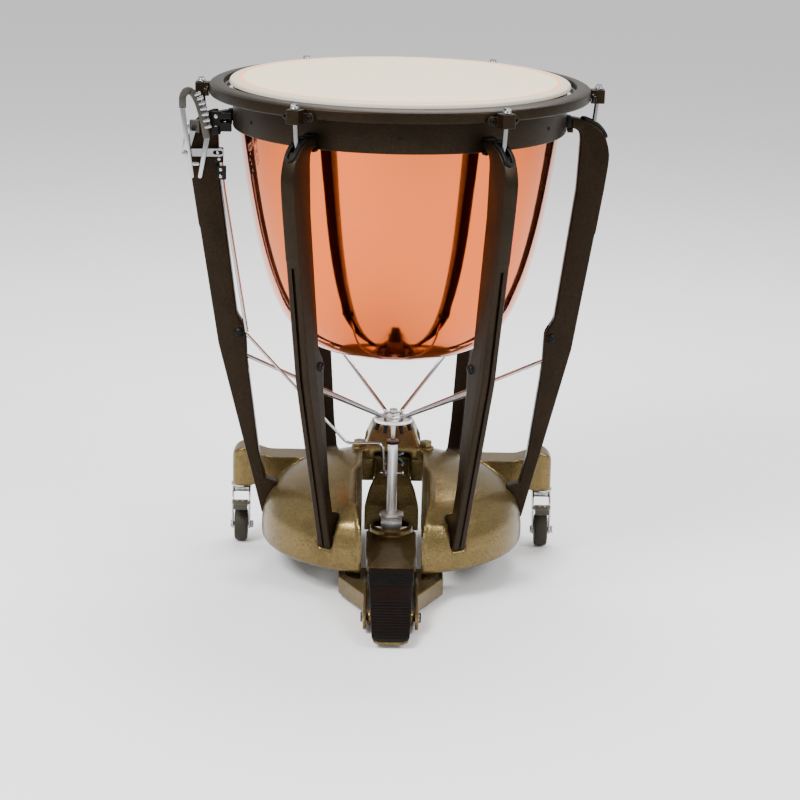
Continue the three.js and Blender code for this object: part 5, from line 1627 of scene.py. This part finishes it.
    def ribs(self, name: str, count: int, first: float, pitch: float) -> None:
        """A bank of round-topped ribs across the pad, each as wide as the pad is there.

        Args:
            name: the bank's name.
            count: how many ribs it has.
            first: how far up the pad the first one is, in millimetres.
            pitch: the distance from one to the next.
        """
        tree = Growth(
            name,
            {
                "Count": ("NodeSocketInt", count),
                "First": ("NodeSocketFloat", first * MM),
                "Pitch": ("NodeSocketFloat", pitch * MM),
                "Rib radius": ("NodeSocketFloat", 1.7 * MM),
                "Front width": ("NodeSocketFloat", 58 * MM),
                "Widening": ("NodeSocketFloat", 0.078),
            },
        )
        nodes = tree.nodes
        start = nodes.add("ShaderNodeCombineXYZ", {}, {1: tree.get("First")})
        step = nodes.add("ShaderNodeCombineXYZ", {}, {1: tree.get("Pitch")})
        spaced = {"Count": tree.get("Count"), "Start Location": start, "Offset": step}
        line = nodes.add("GeometryNodeMeshLine", {}, spaced)
        rod = {"Vertices": 14, "Radius": tree.get("Rib radius"), "Depth": 1.0}
        rib = nodes.add("GeometryNodeMeshCylinder", {}, rod)
        laid = nodes.add("GeometryNodeTransform", {}, {"Geometry": rib, "Rotation": (0, math.pi / 2, 0)})
        _, y, _ = nodes.split(nodes.add("GeometryNodeInputPosition"))
        reach = y * tree.get("Widening") + tree.get("Front width")
        width = nodes.add("ShaderNodeCombineXYZ", {}, {0: reach, 1: 1.0, 2: 1.0})
        across = {"Points": line, "Instance": laid, "Scale": width}
        row = nodes.add("GeometryNodeInstanceOnPoints", {}, across)
        lift = Vector((0, 0, 8.7 * MM))
        lift.rotate(Matrix.Rotation(self.slope, 3, "X"))
        spot = (AXIS.x, AXIS.y + self.toe_y * MM + lift.y, self.tread_z * MM + lift.z)
        tilt = {"Geometry": row, "Translation": spot, "Rotation": (self.slope, 0, 0)}
        bank = tree.grown(name, nodes.add("GeometryNodeTransform", {}, tilt), BLACK, 40)
        self.bench.fit(bank, "pedal_pad", BLACK, False)


# ------------------------------------------------------------------ casters


@dataclass
class Caster:
    """One swivelling caster: fork, wheel and brake."""

    bench: Bench
    where: str
    x: float
    stem_y: float = 135.0
    top: float = 106.6
    wheel_r: float = 31.0
    wheel_w: float = 25.0
    trail: float = 20.0
    gap: float = 1.5
    cheek: float = 3.0

    def build(self) -> None:
        """Builds the three moving parts."""
        self.wheel_y = self.stem_y - self.trail
        self.cheek_in = self.wheel_w / 2 + self.gap
        self.fork()
        self.wheel()
        self.brake()

    def fork(self) -> None:
        """The pressed fork with its swivel plate, stem and axle nuts."""
        under, out = self.top - 6, self.cheek_in + self.cheek
        bridge = under - 8
        y, wheel_y, wheel_z = self.stem_y, self.wheel_y, self.wheel_r
        outline = filleted(
            [
                (y - 16, under + 1, 3),
                (y + 14, under + 1, 3),
                (y + 12, bridge - 14, 20),
                (wheel_y + 10, wheel_z - 6, 8),
                (wheel_y - 5, wheel_z - 9, 6),
                (wheel_y - 11, wheel_z, 8),
                (wheel_y - 16, self.wheel_r * 2 + 18, 20),
            ]
        )
        crown = [(-out, bridge, 0), (out, bridge, 0), (out, under + 1, 4), (-out, under + 1, 4)]
        solids = [prism(filleted(crown), y - 15, y + 13, Plane.FRONT)]
        for low, high in ((-out, -self.cheek_in), (self.cheek_in, out)):
            solids.append(prism(outline, low, high, Plane.SIDE))
        hole = bar((-30, wheel_y - 8, wheel_z * 2 + 12), (30, wheel_y - 8, wheel_z * 2 + 12), 3, 24, 0)
        piece = cast("fork_" + self.where, [s.moved(self.x) for s in solids], [hole.moved(self.x)], 0.8, 3)
        self.bench.fit(piece, "caster_fork_" + self.where, CHROME)
        axle_at = (self.x, wheel_y, wheel_z)
        plate = filleted([(0, under, 0), (20, under, 2), (20, self.top, 1.5), (0, self.top, 0)])
        trim = [
            post(bridge, self.top + 28, 6).moved(self.x, y),
            turned(plate, 64).moved(self.x, y),
            bar((self.x - out - 2, *axle_at[1:]), (self.x + out + 2, *axle_at[1:]), 4, 28),
            hexagon((self.x + out, *axle_at[1:]), (self.x + out + 6, *axle_at[1:]), 12),
            hexagon((self.x - out - 3, *axle_at[1:]), (self.x - out, *axle_at[1:]), 12),
        ]
        self.add("fork_trim_", together(trim), "caster_fork_", CHROME, False)

    def add(self, name: str, form: Form, node: str, finish: Finish, stands_in: bool = True) -> None:
        """Fits a form under this caster's own names."""
        self.bench.fit(made(name + self.where, form), node + self.where, finish, stands_in)

    def wheel(self) -> None:
        """The wheel: a rounded tyre on a dished hub."""
        half, r = self.wheel_w / 2, self.wheel_r
        tread = [(20, -half + 1, 1), (r - 2, -half, 5), (r, 0, 30), (r - 2, half, 5), (20, half - 1, 1)]
        tyre = ringed(filleted(tread, 2, 5), 96)
        dish = [(4.5, -half, 0.5), (9, -half, 1), (11, -half + 5, 3), (20.4, -half + 4, 1)]
        dish += [(20.4, half - 4, 1), (11, half - 5, 3), (9, half, 1), (4.5, half, 0.5)]
        hub = ringed(filleted(dish, 1, 4), 64)
        spot, end = (self.x, self.wheel_y, r), (self.x + 1, self.wheel_y, r)
        self.add("tyre_", aimed(tyre, spot, end), "caster_wheel_", TYRE)
        self.add("hub_", aimed(hub, spot, end), "caster_wheel_", TAUPE, False)

    def brake(self) -> None:
        """The ribbed brake lever with its plated shoe and two rivets."""
        y, z, half = self.wheel_y - 8, self.wheel_r * 2 + 12, self.cheek_in - 0.8
        tab = [(y + 5, z + 5, 3), (y - 18, z + 12.5, 6), (y - 34, z + 7, 3.5)]
        tab += [(y - 34, z - 3, 2), (y - 18, z + 1, 8), (y + 3, z - 5, 3)]
        lever = prism(filleted(tab), self.x - half, self.x + half, Plane.SIDE)
        piece = bevelled(made("brake_tab_" + self.where, lever), 1.2, 3)
        self.bench.fit(piece, "caster_brake_" + self.where, TAUPE)
        left, right = self.x - half + 2, self.x + half - 2
        lines = [(y - 34, z - 1.5 + 2.7 * k) for k in range(4)]
        lines += [(y - 30 + 11 * k / 4, z + 8.6 + 3.2 * k / 4) for k in range(5)]
        ribs = [bar((left, *line), (right, *line), 0.9, 12, 0.4) for line in lines]
        self.add("brake_ribs_", together(ribs), "caster_brake_", TAUPE, False)
        pin = bar((self.x - half - 4.6, y, z), (self.x + half + 4.6, y, z), 2.5, 20)
        curve = [(y - 14, z - 1.2, 1), (y - 14, z - 2.6, 0.5), (y + 1, z - 5.6, 0.5), (y + 1, z - 4, 1)]
        shoe = prism(filleted(curve), self.x - 8, self.x + 8, Plane.SIDE)
        rivets = [post(z + 11, z + 12.6, 2, 20, 0.7).moved(self.x + dx, y - 24) for dx in (-5, 5)]
        self.add("brake_plate_", together([pin, shoe, *rivets]), "caster_brake_", ZINC, False)


# ------------------------------------------------------------------ tuning gauge


def ribbon(points: Sequence[Flat], half: float, y0: float, y1: float) -> Form:
    """A flat band that follows a path seen from the front.

    Args:
        points: the path's corners, as x and z.
        half: half of the band's width.
        y0: the band's front.
        y1: the band's back.

    Returns:
        The band.
    """
    path = bends([(x, 0, z) for x, z in points], 14, 5)
    left, right = [], []
    for i, spot in enumerate(path):
        run = (path[min(i + 1, len(path) - 1)] - path[max(i - 1, 0)]).normalized()
        side = Vector((-run.z, 0, run.x)) * half
        left.append((spot.x + side.x, spot.z + side.z))
        right.append((spot.x - side.x, spot.z - side.z))
    return prism(left + right[::-1], y0, y1, Plane.FRONT)


@dataclass
class Gauge:
    """The tuning gauge at the left strut: a note scale, a pointer and the rods that move it."""

    bench: Bench
    scale_y: float = -43.0
    pointer_y: float = -34.0
    rod_y: float = -22.0
    pivot: Flat = (-HEAD_R - 80, HEAD_Z - 132)
    tail: Flat = (-HEAD_R - 23.6, HEAD_Z - 131)

    def at(self, out: float, down: float) -> tuple[float, float]:
        """A point left of the bearing edge and below the head."""
        return (-HEAD_R - out, HEAD_Z - down)

    def build(self) -> None:
        """Builds the four parts."""
        self.bracket()
        self.scale()
        self.pointer()
        self.links()

    def bracket(self) -> None:
        """The two black bars from the suspension ring and the post on them."""
        back, front = -20.0, -30.0
        ring_x = -math.sqrt(RING_R**2 - back**2) - 1.4
        block_x, stand_x = -HEAD_R - 20, -HEAD_R - 34
        bars = ((68, 5), (87, 8))
        forms = [
            block(block_x, ring_x, front, back, HEAD_Z - down - half, HEAD_Z - down + half)
            for down, half in bars
        ]
        forms.append(block(stand_x, block_x + 1, front, back, HEAD_Z - 100, HEAD_Z - 60))
        forms.append(block(stand_x, stand_x + 12, self.scale_y + 4.4, back, HEAD_Z - 100, HEAD_Z - 86))
        self.bench.fit(cast("gauge_arm", forms, (), 0.9, 4), "gauge_bracket", JET)
        screws = []
        for down, _ in bars:
            spot = (block_x - 7, front, HEAD_Z - down)
            screws.append(bar(spot, (spot[0], front - 3, spot[2]), 3.6, 24, 0.8))
        self.bench.fit(made("gauge_arm_screws", together(screws)), "gauge_bracket", CHROME, False)

    def scale(self) -> None:
        """The hooked plate, its note carriers and the straps under it."""
        front, back = self.scale_y, self.scale_y + 4
        hook = [(84, 53), (84.4, 33), (79, 23), (72, 22), (64, 29), (57, 43), (50, 66), (42, 105)]
        rail = [self.at(*p) for p in hook]
        plate = made("gauge_plate", ribbon(rail, 6.2, front, back))
        bevelled(plate, 0.7, 2)
        self.bench.fit(plate, "gauge_scale", PLATE_AND_SHADE)
        low_left, low_right = self.at(68, 172), self.at(54, 172)
        straps = [(self.at(84, 55), low_left, 0.0), (self.at(42, 105), low_right, 0.3)]
        forms = [capsule(one, two, 4.6, 3.4, front + dy, front + dy + 2.2) for one, two, dy in straps]
        forms.append(capsule(self.at(66, 150), self.at(58, 150), 3, 3, front + 0.6, front + 2.9))
        forms.append(capsule(self.at(77.5, 100), self.pivot, 4, 6, front + 0.9, front + 3.1))
        x, z = self.pivot
        forms.append(bar((x, front - 1, z), (x, self.pointer_y + 6, z), 3, 24))
        forms.append(bar((x, front - 2.5, z), (x, front, z), 5, 24, 1))
        carriers = [(64, 31), (60, 38), (57, 46), (54.3, 55), (51.8, 64.5), (49.4, 75), (46.8, 86)]
        path = [Vector(self.at(*p)) for p in carriers]
        ends: list[Flat] = []
        for i, spot in enumerate(path):
            run = (path[min(i + 1, 6)] - path[max(i - 1, 0)]).normalized()
            out = Vector((-run.y, run.x))
            near, far = spot + out * 3.0, spot + out * 10.5
            if far.x < near.x:
                near, far = spot - out * 3.0, spot - out * 10.5
            forms.append(capsule(near, far, 2.1, 2.9, front - 2.2, back + 1.2))
            forms.append(bar((far.x, front - 3.2, far.y), (far.x, back + 2, far.y), 1.5, 16, 0.4))
            ends.append((far.x, far.y))
        edge = made("gauge_edge", ribbon(ends, 1.6, front - 0.6, back))
        self.bench.fit(edge, "gauge_scale", PLATE_AND_SHADE, False)
        piece = made("gauge_straps", together(forms))
        bevelled(piece, 0.35, 2, 50)
        self.bench.fit(piece, "gauge_scale", CHROME, False)

    def pointer(self) -> None:
        """The pointer: two arms about a pivot, the clamp block and its knob."""
        (px, pz), (tx, tz) = self.pivot, self.tail
        clamp, front, back = (px + 16, pz + 46), self.pointer_y, self.pointer_y + 4
        arms = capsule(self.pivot, clamp, 6.5, 4, front, back)
        level = capsule(self.pivot, (tx + 4, tz), 6.5, 7, front, back)
        piece = combined(made("pointer_arms", arms), level, "UNION")
        cut(
            piece,
            capsule((tx - 5, tz), (tx + 5, tz), 3.6, 3.6, front - 2, back + 2),
            bar((px, self.scale_y - 3, pz), (px, 0, pz), 3.5, 32, 0),
        )
        smooth(piece.data, 30)
        self.bench.fit(piece, "gauge_pointer", CHROME)
        x, y, z = clamp[0], back + 1, clamp[1]
        body = cast("pointer_clamp", [block(x - 9, x + 9, front, back + 6, z - 11, z + 11)], (), 0.7, 6)
        cut(body, bar((x - 12, y, z), (x - 2, y, z), 3.2, 24, 0))
        self.bench.fit(body, "gauge_pointer", PLATE_AND_SHADE, False)
        screw = bar((x - 3, y, z), (x - 12, y, z), 2.5, 24)
        grip = bar((x - 10, y, z), (x - 18, y, z), 5, 18, 1.2)
        self.bench.fit(made("knob_grip", screw + grip, 50), "gauge_knob", ZINC)

    def links(self) -> None:
        """The rod up to the pointer and the bent rod across to the pull rod."""
        y, (tx, tz) = self.rod_y, self.tail
        knee = (-PIVOT_R + 14, y, PIVOT_Z - 1)
        top, high = (-HEAD_R - 15, y, HEAD_Z - 190), tz + 7
        upper = tube(bends([(knee[0], y, knee[2] + 4), top, (tx + 4, y, high - 8)], 20), 3.4, 20)
        pin = bar((tx, y, tz), (tx, self.pointer_y - 2, tz), 2.5, 24)
        heads = [
            bar((tx + dx, y - 4, high - dz), (tx + dx, y - 8, high - dz), 3, 20, 0.8)
            for dx, dz in ((2, 19), (5, 38), (5, 50))
        ]
        self.bench.fit(made("link_upper_rod", together([upper, pin, *heads])), "gauge_link_upper", CHROME)
        clamps = [
            block(tx - 6, tx + 9, y - 5, y + 6, high - 26, high),
            block(tx - 2, tx + 14, y - 6, y + 5, high - 56, high - 32),
        ]
        for number, form in enumerate(clamps):
            self.bench.fit(cast(f"link_clamp_{number}", [form], (), 0.7, 5), "gauge_link_upper", JET, False)
        eye_x = -13.7
        path = [knee, (-83, -16, SPIDER_Z - 42), (-24, -12, SPIDER_Z - 43), (eye_x - 4, -12, SPIDER_Z - 50)]
        path += [(eye_x - 2, -9, 176), (eye_x, -6, 170)]
        wire = made("link_lower_rod", tube(bends(path, 9), 2.7, 16))
        combined(wire, bar((eye_x - 3, 0, 170), (eye_x + 3, 0, 170), 6.5, 40), "UNION")
        cut(wire, bar((eye_x - 6, 0, 170), (eye_x + 6, 0, 170), 3, 32, 0))
        smooth(wire.data, 40)
        self.bench.fit(wire, "gauge_link_lower", CHROME)


# ------------------------------------------------------------------ studio


@dataclass
class Studio:
    """A pale floor, soft light and the camera."""

    floor: Colour = (0.93, 0.93, 0.93)
    eye: Flat = (-0.0208, -4.3672, 1.5106)
    turn: Flat = (-0.0088, 0.2653, 0.0214)  # about the world's Z, down from level, about the view
    lens: float = 114.6
    brightness: float = 0.85

    def build(self) -> None:
        """Sets up floor, sky, lamps and camera."""
        self.ground()
        self.sky()
        self.lamp("key", (-2.0, -2.0, 3.0), 1.4, 190)
        self.lamp("fill", (2.6, -1.6, 2.3), 1.2, 80)
        self.lamp("crown", (0.3, 1.4, 3.2), 2.0, 130)
        self.camera()

    def ground(self) -> None:
        """A pale floor out to where the sky takes over."""
        mesh = bpy.data.meshes.new("floor")
        far = 40.0
        mesh.from_pydata([(-far, -far, 0), (far, -far, 0), (far, far, 0), (-far, far, 0)], [], [(0, 1, 2, 3)])
        floor = bpy.data.objects.new("floor", mesh)
        bpy.context.scene.collection.objects.link(floor)
        paint = bpy.data.materials.new("pale_floor")
        paint.use_nodes = True
        shader = paint.node_tree.nodes["Principled BSDF"]
        shader.inputs["Base Color"].default_value = rgba(self.floor)
        shader.inputs["Roughness"].default_value = 0.9
        shader.inputs["Specular IOR Level"].default_value = 0.1
        mesh.materials.append(paint)

    def sky(self) -> None:
        """An almost even white sky, a little greyer low down."""
        world = bpy.data.worlds.new("white_room")
        world.use_nodes = True
        bpy.context.scene.world = world
        nodes = Nodes(world.node_tree)
        where = nodes.add("ShaderNodeTexCoord", {}, {}, "Generated")
        _, _, height = nodes.split(where)
        low, high = rgba((0.8, 0.8, 0.8)), rgba((1.0, 1.0, 1.0))
        back = world.node_tree.nodes["Background"]
        nodes.join(back.inputs["Color"], nodes.mix(height.step(-0.1, 0.5), low, high))
        back.inputs["Strength"].default_value = self.brightness

    def lamp(self, name: str, place: Flat, size: float, power: float) -> None:
        """A soft square lamp that looks at the middle of the drum."""
        light = bpy.data.lights.new(name, "AREA")
        light.shape = "SQUARE"
        light.size = size
        light.energy = power
        lamp = bpy.data.objects.new(name, light)
        lamp.location = place
        lamp.rotation_euler = (Vector((0, 0, 0.45)) - Vector(place)).to_track_quat("-Z", "Y").to_euler()
        bpy.context.scene.collection.objects.link(lamp)

    def camera(self) -> None:
        """The camera: a long lens that looks a little down on the drum."""
        about, down, roll = self.turn
        tip = Matrix.Rotation(math.pi / 2 - down, 4, "X")
        aim = Matrix.Rotation(about, 4, "Z") @ tip @ Matrix.Rotation(roll, 4, "Z")
        lens = bpy.data.cameras.new("camera")
        lens.lens = self.lens
        lens.sensor_width = 36
        camera = bpy.data.objects.new("camera", lens)
        camera.matrix_world = Matrix.Translation(Vector(self.eye)) @ aim
        bpy.context.scene.collection.objects.link(camera)
        bpy.context.scene.camera = camera


# ------------------------------------------------------------------ the drum


def main() -> None:
    """Builds every sub-assembly, then the studio."""
    logging.basicConfig(level=logging.INFO, format="%(name)s: %(message)s")
    bench = Bench()
    parts: list[tuple[str, Callable[[], None]]] = [
        ("bowl", Bowl(bench).build),
        ("struts", Struts(bench).build),
        ("pull rod", PullRod(bench).build),
        ("base", Base(bench).build),
        ("pedal", Pedal(bench).build),
        ("left caster", Caster(bench, "left", -280.0).build),
        ("right caster", Caster(bench, "right", 280.0).build),
        ("gauge", Gauge(bench).build),
        ("studio", Studio().build),
    ]
    for name, build in parts:
        log.info("building the %s", name)
        build()


if __name__ == "__main__":
    main()
